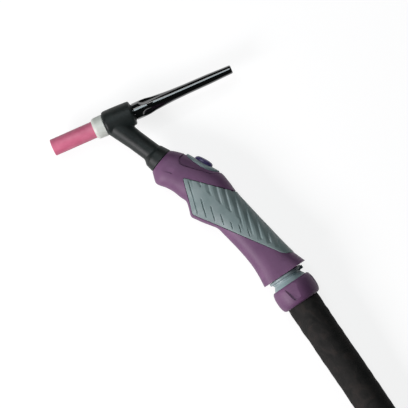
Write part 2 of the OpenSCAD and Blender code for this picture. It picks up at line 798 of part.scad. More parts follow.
module connector_boot()
    color("#1a1b1d") difference() {
        union() {
            on_plug() cylinder(r1 = 9.5, r2 = 13.5, h = 26);
            on_plug(26) cylinder(r = 15, h = boot_len - 26);
            on_plug(22) cylinder(r1 = 12.9, r2 = 15, h = 4);
            on_plug(34) translate([0, -16.5, 0]) cylinder(r = 3.6, h = 13, $fn = 32);
        }
        for (t = [6, 11, 16])
            on_plug(t) tube(20, 8.9 + t * 0.15, 1.6);
        on_plug(boot_len - 12) cylinder(r = 11, h = 20);
    }

module connector_body()
    color("#b8955a") {
        on_plug(boot_len - 12) cylinder(r = 11, h = 12);
        on_plug(boot_len) cylinder(r = 12.6, h = 16);
        on_plug(boot_len + 16) cylinder(r = 12.6, h = 10, $fn = 6);
        on_plug(boot_len + 26) cylinder(r = 8.4, h = 1);
        on_plug(boot_len + 27) cylinder(r = 7.4, h = 2.2);
        on_plug(boot_len + 29.2) cylinder(r = 8.4, h = 0.8);
    }

module connector_pin()
    color("#c9a86a") difference() {
        union() {
            on_plug(boot_len + plug_body_len) cylinder(r = connector_pin_d / 2 - 0.4, h = 2);
            on_plug(boot_len + plug_body_len + 0.8) cylinder(r = connector_pin_d / 2, h = pin_len - 2);
            on_plug(boot_len + plug_body_len + pin_len - 1.2)
                cylinder(r1 = connector_pin_d / 2, r2 = connector_pin_d / 2 - 1.2, h = 1.2);
        }
        on_plug(boot_len + plug_body_len + 5) cylinder(r = 2, h = 40);
    }

module connector_seal()
    color("#181a1b") on_plug(boot_len + 28.1) rotate_extrude()
        translate([7.4 + 0.95 + 0.05, 0]) circle(r = 0.95, $fn = 32);

switch_lead_points = [
    [45.9, -353.1, 15], [35.2, -358.1, 13.7], [23.4, -363.6, 10.2], [13.8, -371, 6.2],
    [7.8, -384, 3.2], [8.9, -398.6, 2.6], [17.2, -410.4, 2.7], [30, -416.2, 3.9],
    [43.5, -416.2, 6.2], [56, -413, 7.9], [65.7, -409.7, 8.3]
];
switch_plug_dir = unit([97, 33, 0]);

module switch_lead()
    color("#1b1d1f") tube_along(curve(switch_lead_points, 2), switch_cable_d / 2, 8);

// Local Z runs along the switch plug, from its cable to its pins
module on_switch_plug(t = 0)
    translate(switch_lead_points[len(switch_lead_points) - 1])
        rotate([0, 90, atan2(switch_plug_dir[1], switch_plug_dir[0])]) translate([0, 0, t]) children();

module switch_plug()
    color("#25282b") {
        on_switch_plug(0.4) cylinder(r1 = 4, r2 = 6, h = 9.6);
        on_switch_plug(10) cylinder(r = 7.4, h = 26);
    }

module switch_plug_ring()
    color("#8d9196") on_switch_plug(20) difference() {
        tube(8.1, 7.45, 12);
        for (k = [0 : 11])
            rotate([0, 0, k * 30]) translate([8.4, 0, -1]) cylinder(r = 0.6, h = 14, $fn = 16);
    }

module switch_plug_pins()
    color("#c9a86a") for (k = [0 : 4])
        on_switch_plug(36) rotate([0, 0, k * 60]) translate([3.6, 0, 0]) cylinder(r = 0.8, h = 6, $fn = 24);

// ---------------------------------------------------------------- drawing
nozzle();
heat_shield();
collet_body();
collet();
electrode();
head_core();
head_cover();
neck_tube();
back_cap();
back_cap_seal();
neck_coupling();
inner_power_cable();
switch_wires();
handle_shell_left();
handle_shell_right();
grip_pad_left();
grip_pad_right();
switch_bezel();
switch_button();
microswitch();
shell_screws();
swivel_ball();
sleeve_clamp();
swivel_collar();
lead_sleeve();
sleeve_cuff();
cable_lead_in();
cable_coil();
cable_tail();
coil_straps();
connector_boot();
connector_body();
connector_pin();
connector_seal();
switch_lead();
switch_plug();
switch_plug_ring();
switch_plug_pins();
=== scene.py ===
# %% [markdown]
# # A gas cooled TIG torch with its lead
# The torch lies on its side: ceramic nozzle, rubber covered head and neck, purple handle with a
# fluted grip, ball swivel and a leather sleeve over the lead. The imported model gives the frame.
# Each new piece is built in millimetres about its own axis and then put in place, so the numbers
# below are the ones a maker would read off a drawing.

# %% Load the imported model
import math

import bmesh
import bpy
import numpy as np
from mathutils import Matrix, Vector, noise
from mathutils.bvhtree import BVHTree
from mathutils.interpolate import poly_3d_calc


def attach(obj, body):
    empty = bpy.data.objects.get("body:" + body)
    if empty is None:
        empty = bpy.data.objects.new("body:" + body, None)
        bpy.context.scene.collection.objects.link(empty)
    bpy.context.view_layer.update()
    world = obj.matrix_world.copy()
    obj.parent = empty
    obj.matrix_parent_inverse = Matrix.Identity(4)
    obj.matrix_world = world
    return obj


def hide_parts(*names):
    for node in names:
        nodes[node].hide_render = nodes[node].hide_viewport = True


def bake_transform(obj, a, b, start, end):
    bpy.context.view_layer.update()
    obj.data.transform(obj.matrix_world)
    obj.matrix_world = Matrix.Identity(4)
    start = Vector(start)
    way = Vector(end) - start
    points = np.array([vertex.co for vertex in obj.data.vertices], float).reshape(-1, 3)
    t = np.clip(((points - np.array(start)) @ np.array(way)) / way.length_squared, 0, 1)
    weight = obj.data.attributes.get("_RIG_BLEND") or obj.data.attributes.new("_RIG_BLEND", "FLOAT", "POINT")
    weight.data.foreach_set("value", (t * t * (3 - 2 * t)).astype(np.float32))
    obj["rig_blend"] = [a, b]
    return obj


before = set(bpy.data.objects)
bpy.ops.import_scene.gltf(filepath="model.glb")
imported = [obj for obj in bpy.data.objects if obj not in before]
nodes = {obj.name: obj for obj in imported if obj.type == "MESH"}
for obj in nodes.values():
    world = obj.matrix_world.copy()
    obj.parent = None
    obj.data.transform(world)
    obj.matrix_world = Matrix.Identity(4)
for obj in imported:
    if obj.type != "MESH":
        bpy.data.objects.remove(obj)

scene = bpy.context.scene
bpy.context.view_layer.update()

# %% [markdown]
# ## Frames
# The handle is drawn in its own plane: u along it, v towards the switch, w out of the side that
# lies upwards. The head, the neck, the lead and the switch each have an axis of their own. A
# matrix for each one turns local millimetres, with z along that axis, into metres in the frame.

# %% One matrix for each axis
def moved(*offset):
    return Matrix.Translation(offset)


def spun(degrees, axis):
    return Matrix.Rotation(math.radians(degrees), 4, axis)


MM = Matrix.Scale(0.001, 4)
HANDLE = MM @ moved(-54.13, -25.24, 22.5)


def axis_at(start, degrees, base=HANDLE):
    """Place whose z runs from a point along a line in the plane of its base."""
    return base @ moved(*start) @ (spun(degrees, "Z") @ spun(90, "Y"))


HEAD = axis_at((-63, -2.7, 0), 65.9)
NECK = axis_at((-64.062, -5.073, 0), 5.8)
TAIL = axis_at((165.1, -0.2, 0), -13.7)
SWITCH = HANDLE @ moved(32, 26.5, 0) @ spun(13, "Z") @ spun(-90, "X")
print("Back cap's tip in mm:", [round(x * 1000, 1) for x in HEAD @ Vector((0, 0, 129.5))])

# %% [markdown]
# ## Camera
# A long lens looks almost straight down on the torch, tilted by a few degrees, so that lengths
# stay close to true. The handle runs from the upper left to the lower right.

# %% Camera
CAMERA_TURN, CAMERA_TILT = math.radians(42.3), math.radians(4.5)
CAMERA_DISTANCE = 2.72
right = Vector((math.cos(CAMERA_TURN), math.sin(CAMERA_TURN), 0))
up = Vector((-math.sin(CAMERA_TURN), math.cos(CAMERA_TURN), 0))
towards = Vector((0, 0, 1)) * math.cos(CAMERA_TILT) + right * math.sin(CAMERA_TILT)
target = Vector((0.00612, -0.02816, 0.0225))
camera = bpy.data.objects.new("camera", bpy.data.cameras.new("camera"))
camera.data.lens, camera.data.sensor_width, camera.data.clip_end = 240, 36, 10
facing = Matrix((up.cross(towards), up, towards)).transposed().to_4x4()
camera.matrix_world = moved(*(target + towards * CAMERA_DISTANCE)) @ facing
scene.collection.objects.link(camera)
scene.camera = camera
print("Camera height in mm:", round(camera.matrix_world.translation.z * 1000))

# %% [markdown]
# ## Shader nodes
# Every material is a small tree of nodes. One function adds a node, sets it and links it. Colours
# are written as they show on a screen and turned to linear light by one function.

# %% Colour and node helpers
def linear(text):
    """A six digit sRGB colour as linear red, green, blue and full alpha."""
    parts = [int(text[i : i + 2], 16) / 255 for i in (0, 2, 4)]
    return (*[p / 12.92 if p <= 0.04045 else ((p + 0.055) / 1.055) ** 2.4 for p in parts], 1)


def add(tree, kind, inputs=None, **settings):
    """Adds one shader node; inputs are values or the sockets that feed them."""
    made = tree.nodes.new("ShaderNode" + kind)
    for name, value in settings.items():
        setattr(made, name, value)
    for name, value in (inputs or {}).items():
        if isinstance(value, bpy.types.NodeSocket):
            tree.links.new(value, made.inputs[name])
        else:
            made.inputs[name].default_value = value
    return made


def new_material(name, colour, **values):
    """A material with one Principled shader; values are set on the shader's own sockets."""
    made = bpy.data.materials.new(name)
    made.use_nodes = True
    made.diffuse_color = linear(colour)
    shader = made.node_tree.nodes["Principled BSDF"]
    shader.inputs["Base Color"].default_value = linear(colour)
    for socket, value in values.items():
        shader.inputs[socket.replace("_", " ")].default_value = value
    return made, made.node_tree, shader


def set_stops(ramp, *stops):
    """Fills a colour ramp with (position, sRGB colour) stops."""
    line = ramp.color_ramp
    while len(line.elements) > 1:
        line.elements.remove(line.elements[-1])
    line.elements[0].position, line.elements[0].color = stops[0][0], linear(stops[0][1])
    for place, colour in stops[1:]:
        line.elements.new(place).color = linear(colour)
    return ramp


def pattern(tree, kind, size, **settings):
    """The node of a texture whose features are about so many millimetres across."""
    place = add(tree, "TexCoord").outputs["Object"]
    return add(tree, kind, {"Vector": place, "Scale": 1000 / size, **settings})


def tint(tree, shader, factor, *stops):
    """Colours the shader by a ramp over a factor."""
    ramp = set_stops(add(tree, "ValToRGB", {"Fac": factor}), *stops)
    tree.links.new(ramp.outputs["Color"], shader.inputs["Base Color"])


def emboss(tree, shader, height, strength, depth, **under):
    """A bump of a depth in millimetres; under holds the normal of a bump that it lies on."""
    under.update(Height=height, Strength=strength, Distance=depth / 1000)
    bump = add(tree, "Bump", under)
    tree.links.new(bump.outputs["Normal"], shader.inputs["Normal"])
    return bump.outputs["Normal"]


def finish(name, colour, cloud, tone=(), gloss=(), grain=(), **values):
    """A plastic, rubber or metal with clouds of tone and roughness and a fine grain.

    cloud is a size in mm and settings of its noise, gloss the lowest and highest roughness,
    and grain a size in mm, the detail of its noise, and the strength and depth of its bump.
    """
    made, tree, shader = new_material(name, colour, **values)
    size, settings = cloud
    patches = pattern(tree, "TexNoise", size, **settings).outputs["Fac"]
    if tone:
        tint(tree, shader, patches, *tone)
    if gloss:
        rough = add(tree, "MapRange", {"Value": patches, "To Min": gloss[0], "To Max": gloss[1]})
        tree.links.new(rough.outputs["Result"], shader.inputs["Roughness"])
    if grain:
        size, detail, strength, depth = grain
        marks = pattern(tree, "TexNoise", size, Detail=detail)
        emboss(tree, shader, marks.outputs["Fac"], strength, depth)
    return made


print("Mid grey is", round(linear("808080")[0], 3), "in linear light")

# %% [markdown]
# ## Shape helpers
# A turned piece is a profile of radius and height, spun about z with bmesh. Real edges are never
# sharp, so each corner of a profile can be given a radius before it is spun. A wrapped piece
# starts as a flat grid, which is then rolled round a path or a body: that suits rubber, leather
# and moulded handles, whose section changes along their length.

# %% Turned profiles
MERGE = 0.0005                           # vertices closer than this, in mm, are one
CORNER_STEPS = 4


def rounded(profile):
    """The profile with its corners rounded; rows are radius, height and, if wanted, fillet."""
    line = []
    for i, row in enumerate(profile):
        here = Vector(row[:2])
        if len(row) < 3 or i in (0, len(profile) - 1):
            line.append(here)
            continue
        before = Vector(profile[i - 1][:2]) - here
        after = Vector(profile[i + 1][:2]) - here
        reach = min(row[2], 0.49 * before.length, 0.49 * after.length)
        a, b = here + before.normalized() * reach, here + after.normalized() * reach
        for k in range(CORNER_STEPS + 1):
            f = k / CORNER_STEPS
            line.append(a * (1 - f) ** 2 + here * 2 * f * (1 - f) + b * f * f)
    return line


def turned(profile, sides=96):
    """A bmesh of the profile spun once round z; points on the axis close the piece."""
    bm = bmesh.new()
    line = [bm.verts.new((p[0], 0, p[1])) for p in rounded(profile)]
    edges = [bm.edges.new(pair) for pair in zip(line, line[1:])]
    bmesh.ops.spin(
        bm, geom=line + edges, cent=(0, 0, 0), axis=(0, 0, 1), angle=math.tau,
        steps=sides, use_merge=True, use_duplicate=False,
    )
    bmesh.ops.remove_doubles(bm, verts=bm.verts, dist=MERGE)
    bmesh.ops.recalc_face_normals(bm, faces=bm.faces)
    return bm


# %% [markdown]
# ### From bmesh to a finished piece
# The last step is the same for all pieces: merge doubles, point the faces outwards, put the
# millimetres in place, smooth what is round and keep true corners crisp. The piece is then given
# its material, the body that it moves with and the plain solid that it stands for.

# %% Finished pieces
def crisp(mesh, angle):
    """Smooth shading, with edges sharper than the angle left sharp."""
    mesh.shade_smooth()
    mesh.set_sharp_from_angle(angle=math.radians(angle))


def as_object(name, bm, place, material=None, sharp=35):
    """Turns a bmesh in local millimetres into an object in the frame."""
    bmesh.ops.remove_doubles(bm, verts=bm.verts, dist=MERGE)
    bmesh.ops.recalc_face_normals(bm, faces=bm.faces)
    bmesh.ops.transform(bm, matrix=place, verts=bm.verts)
    mesh = bpy.data.meshes.new(name)
    bm.to_mesh(mesh)
    bm.free()
    crisp(mesh, sharp)
    obj = bpy.data.objects.new(name, mesh)
    scene.collection.objects.link(obj)
    if material:
        mesh.materials.append(material)
    return obj


def dress(obj, body, slot, *solids):
    """The piece rides on a body and stands for these solids; slot is not used."""
    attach(obj, body)
    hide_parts(*solids)
    tris = sum(len(p.vertices) - 2 for p in obj.data.polygons) if obj.type == "MESH" else 0
    print(f"{obj.name}: {tris} triangles, on {body}")


# %% [markdown]
# ### Grids rolled round something
# create_grid makes a flat sheet with a UV map. Each vertex then moves to a place worked out from
# its two coordinates: s along the piece and a round it. Where the sheet meets itself the doubles
# merge, and holes_fill closes the two ends.

# %% Rolled grids
def grid(along, around, uvs=False):
    """A flat grid, and its vertices' two coordinates, both from 0 to 1."""
    bm = bmesh.new()
    if uvs:
        bm.loops.layers.uv.new("UVMap")
    bmesh.ops.create_grid(bm, x_segments=along, y_segments=around, size=0.5, calc_uvs=uvs)
    return bm, np.array([v.co for v in bm.verts])[:, :2] + 0.5


def close_holes(bm):
    bmesh.ops.holes_fill(bm, edges=[e for e in bm.edges if e.is_boundary], sides=0)


def rolled(along, around, where, ends=True):
    """A grid of along x around cells whose vertices move to where(s, a), both from 0 to 1."""
    bm = grid(along, around, uvs=True)[0]
    for vert in bm.verts:
        vert.co = where(vert.co.x + 0.5, vert.co.y + 0.5)
    bmesh.ops.remove_doubles(bm, verts=bm.verts, dist=0.001)
    if ends:
        close_holes(bm)
    bmesh.ops.recalc_face_normals(bm, faces=bm.faces)
    return bm


def round_z(r, turn, z):
    """The point at radius r and a turn from 0 to 1 round z."""
    return Vector((r * math.cos(turn * math.tau), r * math.sin(turn * math.tau), z))


def curve_at(a, b, c, d, f):
    """A smooth curve's point between b and c, with a before them and d after them."""
    return 0.5 * (
        2 * b + (c - a) * f + (2 * a - 5 * b + 4 * c - d) * f * f
        + (3 * b - a - 3 * c + d) * f**3
    )


def smooth_line(points, steps):
    """The smooth curve through the points, with steps positions from each one to the next."""
    pts = [Vector(p) for p in points]
    pts = [2 * pts[0] - pts[1], *pts, 2 * pts[-1] - pts[-2]]
    line = [
        curve_at(*pts[i : i + 4], s / steps)
        for i in range(len(pts) - 3) for s in range(steps)
    ]
    return line + [pts[-2]]


def length_of(line):
    return sum((b - a).length for a, b in zip(line, line[1:]))


# %% [markdown]
# ## The lead's route
# The lead is about four metres long. A leather sleeve covers its first 0.8 metre; then come the
# bare power and gas cable, wound in a coil of two layers, and the switch cable. The points are in
# millimetres on the floor's own frame, and each stretch is one smooth curve through them.

# %% Route points
SLEEVE_R, CABLE_R, SWITCH_CABLE_R = 16.9, 7.0, 2.5
SLEEVE_EXIT = 39.4                       # how far along the tail's axis the sleeve comes free
sleeve_start = TAIL @ Vector((0, 0, SLEEVE_EXIT)) * 1000
sleeve_points = [
    sleeve_start, (186.9, -43.9, 21.2), (225.9, -53.2, 18.7), (265.2, -62.7, 17.2),
    (303.6, -71.8, 17), (343, -82, 17), (386, -99, 17), (422, -127, 17), (449, -164, 17),
    (465, -207, 17),
    (469, -253, 17), (459, -298, 17), (438, -339, 17), (406, -372, 17), (366, -395, 17),
    (321, -406, 17), (275, -404, 17), (231, -390, 17), (193, -364, 17),
]
COIL_X, COIL_Y = 304, -234
COIL_HALF = 2.79 * 360                   # degrees of coil in one layer
COIL_INNER_R, COIL_PITCH = 57, 15
COIL_LOW, COIL_RISE = 8.6, 14.6          # height of the lower layer's middle, and the step up


def coil_point(q):
    """A point of the two layer coil: q is the turn in degrees, 0 where the layers change."""
    r = COIL_INNER_R + COIL_PITCH * math.hypot(q, 45) / 360
    a = math.radians(100 - q - COIL_HALF)
    climb = 0 if q < -120 else 1 if q > 120 else (1 + math.sin(math.radians(0.75 * q))) / 2
    height = COIL_LOW + COIL_RISE * climb
    return Vector((COIL_X + r * math.cos(a), COIL_Y + r * math.sin(a), height))


lead_in_points = [
    (171.8, -349.3, 17), (159.6, -337.4, 16.2), (150.3, -322.4, 14.8), (145.3, -305.3, 13.1),
    (144.9, -287, 11.5), (147.8, -268.5, 10.2), (153.8, -250.5, 9.2), (162.6, -233, 8.7),
    (179.5, -204.5, 8.6), (202.7, -177, 8.6), (229, -156, 8.6), (257.5, -142.8, 8.6),
    coil_point(-COIL_HALF) + Vector((-0.8, -0.1, 0)),
]
tail_points = [
    coil_point(COIL_HALF) + Vector((-0.8, 0.3, 0)), (245, -318.6, 23.5), (218, -309.4, 24.5),
    (190, -300.1, 26), (165, -293.8, 27.1), (146.6, -292.9, 26.9), (129.1, -296.4, 24.6),
    (112.5, -303.4, 20.5), (97, -310.8, 16.8), (83.2, -317.3, 15),
]
switch_lead_points = [
    (45.9, -353.1, 15), (35.2, -358.1, 13.7), (23.4, -363.6, 10.2), (13.8, -371, 6.2),
    (7.8, -384, 3.2), (8.9, -398.6, 2.6), (17.2, -410.4, 2.7), (30, -416.2, 3.9),
    (43.5, -416.2, 6.2), (56, -413, 7.9), (65.7, -409.7, 8.3),
]
sleeve_line = smooth_line(sleeve_points, 6)
coil_line = [coil_point(q) for q in np.linspace(-COIL_HALF, COIL_HALF, 220)]
cable_line = smooth_line(lead_in_points, 6)[:-1] + coil_line + smooth_line(tail_points, 6)[1:]
switch_line = smooth_line(switch_lead_points, 5)
print("Lengths in mm:", *[round(length_of(x)) for x in (sleeve_line, cable_line, switch_line)])

# %% [markdown]
# ## Leather and cable materials
# The sleeve is black side leather: chrome tanned cowhide, drum dyed, with a pebbled grain about a
# millimetre across and browner high spots. The cable's jacket is extruded rubber with a dull, fine
# grit. The straps are nylon hook and loop tape, whose pile scatters light at its edges.

# %% Leather, jacket and strap
leather, tree, shader = new_material(
    "side_leather_black", "292725", Roughness=0.8, Specular_IOR_Level=0.14,
)
folds = pattern(tree, "TexNoise", 14, Detail=4.0, Distortion=1.4).outputs["Fac"]
tint(tree, shader, folds, (0.36, "242423"), (0.52, "2b2a29"), (0.68, "332f2d"))
crease = emboss(tree, shader, folds, 0.6, 1.2)
pebbles = pattern(tree, "TexVoronoi", 1.1, Randomness=1.0).outputs["Distance"]
emboss(tree, shader, pebbles, 0.35, 0.3, Normal=crease)

jacket = finish(
    "extruded_rubber_jacket", "1b1d1f", (9, {"Detail": 5.0, "Roughness": 0.65}),
    tone=[(0.35, "15171a"), (0.55, "1e2022"), (0.72, "2e3032")],
    gloss=(0.38, 0.62), grain=(0.6, 2.0, 0.3, 0.1), Roughness=0.5,
)
strap_cloth, tree, shader = new_material(
    "nylon_hook_and_loop", "3a3d40", Roughness=0.85, Sheen_Weight=0.35, Sheen_Roughness=0.4,
)
pile = pattern(tree, "TexVoronoi", 0.9, Randomness=0.8).outputs["Distance"]
tint(tree, shader, pile, (0.0, "4b4e51"), (0.6, "2b2d30"))
emboss(tree, shader, pile, 0.7, 0.4)
print("Lead materials:", leather.name, jacket.name, strap_cloth.name)

# %% [markdown]
# ## Leather sleeve
# On the torch the sleeve is a strip of leather closed round the cable with a sewn seam, and its
# front end is held under the collar, where it gathers into slanting folds. A tube rolled round
# the route carries both: the folds are noise stretched round the tube and the seam is a low lapped
# ridge with a row of stitches in its own dip.

# %% Sleeve
sleeve_front = TAIL @ Vector((0, 0, 33.2)) * 1000
sleeve_path = smooth_line([sleeve_front, *sleeve_points[1:]], 22)
sleeve_at = np.cumsum([0] + [(b - a).length for a, b in zip(sleeve_path, sleeve_path[1:])])
SEAM = 0.56                              # where the seam lies round the tube, 0 to 1
LAP, STITCH_EVERY, STITCH = 4, 5, 3      # half the lap's width, and the stitches, in mm


def sleeve_place(s, a):
    """The leather's surface: path, gathered folds, lapped seam with its stitches, far edge."""
    last = len(sleeve_path) - 1
    i = round(s * last)
    ahead = (sleeve_path[min(i + 1, last)] - sleeve_path[max(i - 1, 0)]).normalized()
    side = ahead.cross(Vector((0, 0, 1))).normalized()
    rise = side.cross(ahead)
    far = sleeve_at[i]
    ring = round_z(1, a, 0)
    gather = 1 - min(max((far - 6) / 70, 0), 1)
    twist = 0.6 * math.sin(a * math.tau + 1)
    fold = noise.noise(Vector((ring.x * 1.3, ring.y * 1.3, far / 7.5 + twist)))
    slow = noise.noise(Vector((ring.x, ring.y, far / 34 + 7)))
    held = max(0, 1 - far / 7)           # under the collar the leather lies flat on its clamp
    r = SLEEVE_R + 0.1 + (1 - held) * ((0.3 + 0.45 * gather) * fold + 0.35 * slow)
    off = abs((a - SEAM + 0.5) % 1 - 0.5) * math.tau * SLEEVE_R
    if off < LAP:
        r += 0.5 * (0.5 + 0.5 * math.cos(math.pi * off / LAP))
        if 1.2 < off < 2.2 and far % STITCH_EVERY < STITCH:
            r -= 0.35
    r -= 0.9 * max(0, 1 - (sleeve_at[-1] - far) / 2.2) ** 2
    spot = sleeve_path[i] + (side * ring.x + rise * ring.y) * r
    spot.z = max(spot.z, 0.1)            # it rests on the floor
    return spot


bm = rolled(len(sleeve_path) - 1, 120, sleeve_place)
sleeve = as_object("leather_sleeve", bm, MM, leather, sharp=70)
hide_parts("lead_sleeve")
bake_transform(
    sleeve, "swivel", "torch",
    start=TAIL @ Vector((0, 0, SLEEVE_EXIT)), end=TAIL @ Vector((0, 0, 138)),
)
print("Sleeve:", len(sleeve.data.polygons), "faces,", round(sleeve_at[-1]), "mm long")

# %% [markdown]
# ## Cables
# A cable is one line of constant thickness, so it stays a curve: a single open spline with a round
# bevel. The power cable runs from the sleeve through both layers of the coil to its connector.

# %% Power cable and switch cable
def cable(name, line, radius, *solids):
    data = bpy.data.curves.new(name, "CURVE")
    data.dimensions = "3D"
    data.bevel_depth = radius / 1000
    data.bevel_resolution = 5
    data.use_fill_caps = True
    spline = data.splines.new("POLY")
    spline.points.add(len(line) - 1)
    spline.points.foreach_set("co", [x for p in line for x in (*(p / 1000), 1)])
    spline.use_smooth = True
    data.materials.append(jacket)
    obj = bpy.data.objects.new(name, data)
    scene.collection.objects.link(obj)
    dress(obj, "torch", "cable_jacket", *solids)
    return obj


power_cable = cable(
    "power_cable", cable_line, CABLE_R, "cable_lead_in", "cable_coil", "cable_tail",
)
switch_cable = cable("switch_cable", switch_line, SWITCH_CABLE_R, "switch_lead")

# %% [markdown]
# ## Ceramic, plastic and rubber materials
# The nozzle is pink alumina: pressed and fired at a high temperature, so it is dense, opaque and
# only slightly glossy, with a very fine speckle. The heat shield is turned PTFE, waxy and nearly
# white. The head is covered in moulded silicone rubber, and the back cap is black phenolic resin,
# pressed in a polished mould, which gives the sharpest reflections on the torch.

# %% Nozzle, shield, rubber and phenolic
alumina = finish(
    "pink_alumina_fired", "da7391", (11, {"Detail": 2.0}),
    tone=[(0.32, "d46b8a"), (0.55, "dc7492"), (0.75, "e27f9b")],
    grain=(1.4, 3.0, 0.25, 0.12), Roughness=0.42, Specular_IOR_Level=0.5,
)
ptfe = finish(
    "turned_ptfe_white", "e4e8e0", (6, {"Detail": 3.0}), tone=[(0.35, "d3d8cf"), (0.6, "dfe3dc")],
    grain=(0.5, 1.0, 0.2, 0.05), Roughness=0.38,
)
rubber = finish(
    "moulded_silicone_black", "161e1d", (8, {"Detail": 4.0}),
    tone=[(0.35, "101716"), (0.6, "171f1e"), (0.8, "1f2927")],
    gloss=(0.42, 0.6), grain=(0.8, 2.0, 0.25, 0.1), Roughness=0.5, Specular_IOR_Level=0.38,
)
phenolic = finish(
    "polished_phenolic_black", "050707", (5, {"Detail": 5.0}), gloss=(0.06, 0.16),
    grain=(0.7, 1.0, 0.012, 0.02), Roughness=0.08, IOR=1.6,
    Coat_Weight=1.0, Coat_Roughness=0.06, Coat_IOR=1.6,
)
print("Head materials:", alumina.name, ptfe.name, rubber.name, phenolic.name)

# %% [markdown]
# ### Handle plastics
# The shell is injection moulded ABS with a spark eroded texture, a fine pebble of about 0.4 mm,
# which keeps its gloss low and spreads highlights into a bluish sheen. The grip pads are a
# thermoplastic elastomer, softer and duller. The switch frame and the swivel are glass filled
# nylon, slightly waxy. Handling polishes the shell in broad patches.

# %% Shell, grip, nylon and button
abs_purple = finish(
    "textured_abs_purple", "734e71", (26, {"Detail": 3.0}),
    tone=[(0.34, "6b476a"), (0.52, "734e71"), (0.7, "7c5679")], gloss=(0.46, 0.62),
    grain=(0.45, 2.0, 0.35, 0.12), Roughness=0.5, Specular_IOR_Level=0.42,
    Sheen_Weight=0.04, Sheen_Tint=linear("8fa0b8"),
)
tpe_grey = finish(
    "moulded_tpe_grey", "848d8e", (18, {"Detail": 4.0}),
    tone=[(0.3, "758787"), (0.5, "7f9090"), (0.72, "8d9a9b")],
    grain=(0.6, 2.0, 0.3, 0.12), Roughness=0.55, Sheen_Weight=0.1,
)
nylon = finish(
    "glass_filled_nylon_teal", "8fa3a5", (12, {"Detail": 3.0, "Distortion": 0.6}),
    tone=[(0.34, "869b9d"), (0.66, "98a9ac")], grain=(0.5, 1.0, 0.2, 0.1), Roughness=0.42,
)
indigo = finish(
    "moulded_abs_indigo", "33204f", (5, {"Detail": 3.0}),
    tone=[(0.35, "4a3d6e"), (0.65, "5f5288")], gloss=(0.22, 0.4), Roughness=0.3,
)
dark_nylon = finish(
    "moulded_nylon_black", "26292c", (7, {"Detail": 4.0}),
    tone=[(0.3, "202326"), (0.7, "2f3235")], grain=(0.5, 2.0, 0.3, 0.1), Roughness=0.5,
)
print("Handle materials:", abs_purple.name, tpe_grey.name, nylon.name, indigo.name)

# %% [markdown]
# ### Metals and wire
# The head's core, the coupling and the connector are turned brass, the neck tube and the collet
# are copper, and the electrode is ground tungsten. All of them dull with handling, so their
# roughness is uneven.

# %% Brass, copper, tungsten, steel and wire
def metal(name, colour, dark, marks, smooth, dull):
    """A turned or ground metal: tarnish in soft clouds, and tool marks of one size as a bump."""
    return finish(
        name, colour, (6, {"Detail": 4.0}), tone=[(0.32, dark), (0.62, colour)],
        gloss=(smooth, dull), grain=(marks, 2.0, 0.3, 0.05), Metallic=1.0, Roughness=smooth,
    )


brass = metal("turned_brass", "c2a062", "94743e", 0.5, 0.24, 0.4)
copper = metal("drawn_copper", "b87345", "8a4e2c", 0.5, 0.26, 0.45)
tungsten = metal("ground_tungsten", "b4b7bc", "8e9197", 0.4, 0.28, 0.4)
steel = metal("zinc_plated_steel", "9da1a6", "7c8085", 0.4, 0.3, 0.45)
wire = finish(
    "pvc_wire_red", "8a2a2a", (4, {}), tone=[(0.3, "7c2323"), (0.7, "963232")], Roughness=0.4,
)
print("Metals:", brass.name, copper.name, tungsten.name, steel.name)

# %% [markdown]
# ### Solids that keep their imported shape
# Inner pieces such as the collet, the neck tube and the screws are simple turned parts whose
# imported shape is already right. They keep it and get their real finish.

# %% Materials for the kept solids
kept = {
    copper: ["collet_body", "collet", "neck_tube"],
    tungsten: ["electrode"],
    brass: ["head_core", "neck_coupling", "switch_plug_pins"],
    rubber: ["back_cap_seal", "connector_seal"],
    jacket: ["inner_power_cable"],
    wire: ["switch_wires"],
    dark_nylon: ["microswitch", "sleeve_clamp"],
    steel: ["shell_screws"],
}
for coat, names in kept.items():
    for name in names:
        nodes[name].data.materials.clear()
        nodes[name].data.materials.append(coat)
print("Kept solids:", sum(len(n) for n in kept.values()))

# %% [markdown]
# ## Nozzle and heat shield
# Both are bodies of revolution. The nozzle is a straight tube with rounded lips and a flared
# mouth; the shield has a deep round shoulder, a seat for the nozzle and a boss in the head.

# %% Nozzle and heat shield
bm = turned([
    (7.2, 0), (8.65, 0, 1.3), (8.65, 47.6, 1.3), (6.45, 47.6, 0.4), (6.45, 20, 0.2), (6.35, 19.8),
    (6.35, 1.0, 0.5), (7.2, 0),
], sides=128)
dress(
    as_object("ceramic_nozzle", bm, HEAD @ moved(0, 0, -66.5), alumina),
    "nozzle", "pink_alumina", "nozzle",
)
bm = turned([
    (8.75, 0), (9.5, 0, 0.5), (11.0, 2.4, 2.5), (11.2, 11.7, 0.5), (9.2, 11.7), (9.2, 13.8, 0.4),
    (6.55, 13.8, 0.3), (6.55, 2.2), (8.75, 2.2, 0.2), (8.75, 0),
], sides=128)
dress(
    as_object("ptfe_shield", bm, HEAD @ moved(0, 0, -21), ptfe),
    "nozzle_stack", "white_ptfe", "heat_shield",
)

# %% [markdown]
# ## Back cap
# The long cap is a cone of pressed resin. Four broad flutes near its base give the fingers a hold:
# each starts in a rounded end and runs out along the taper. The flute's cut is worked out for every
# direction round the cap, so the grid follows it exactly.

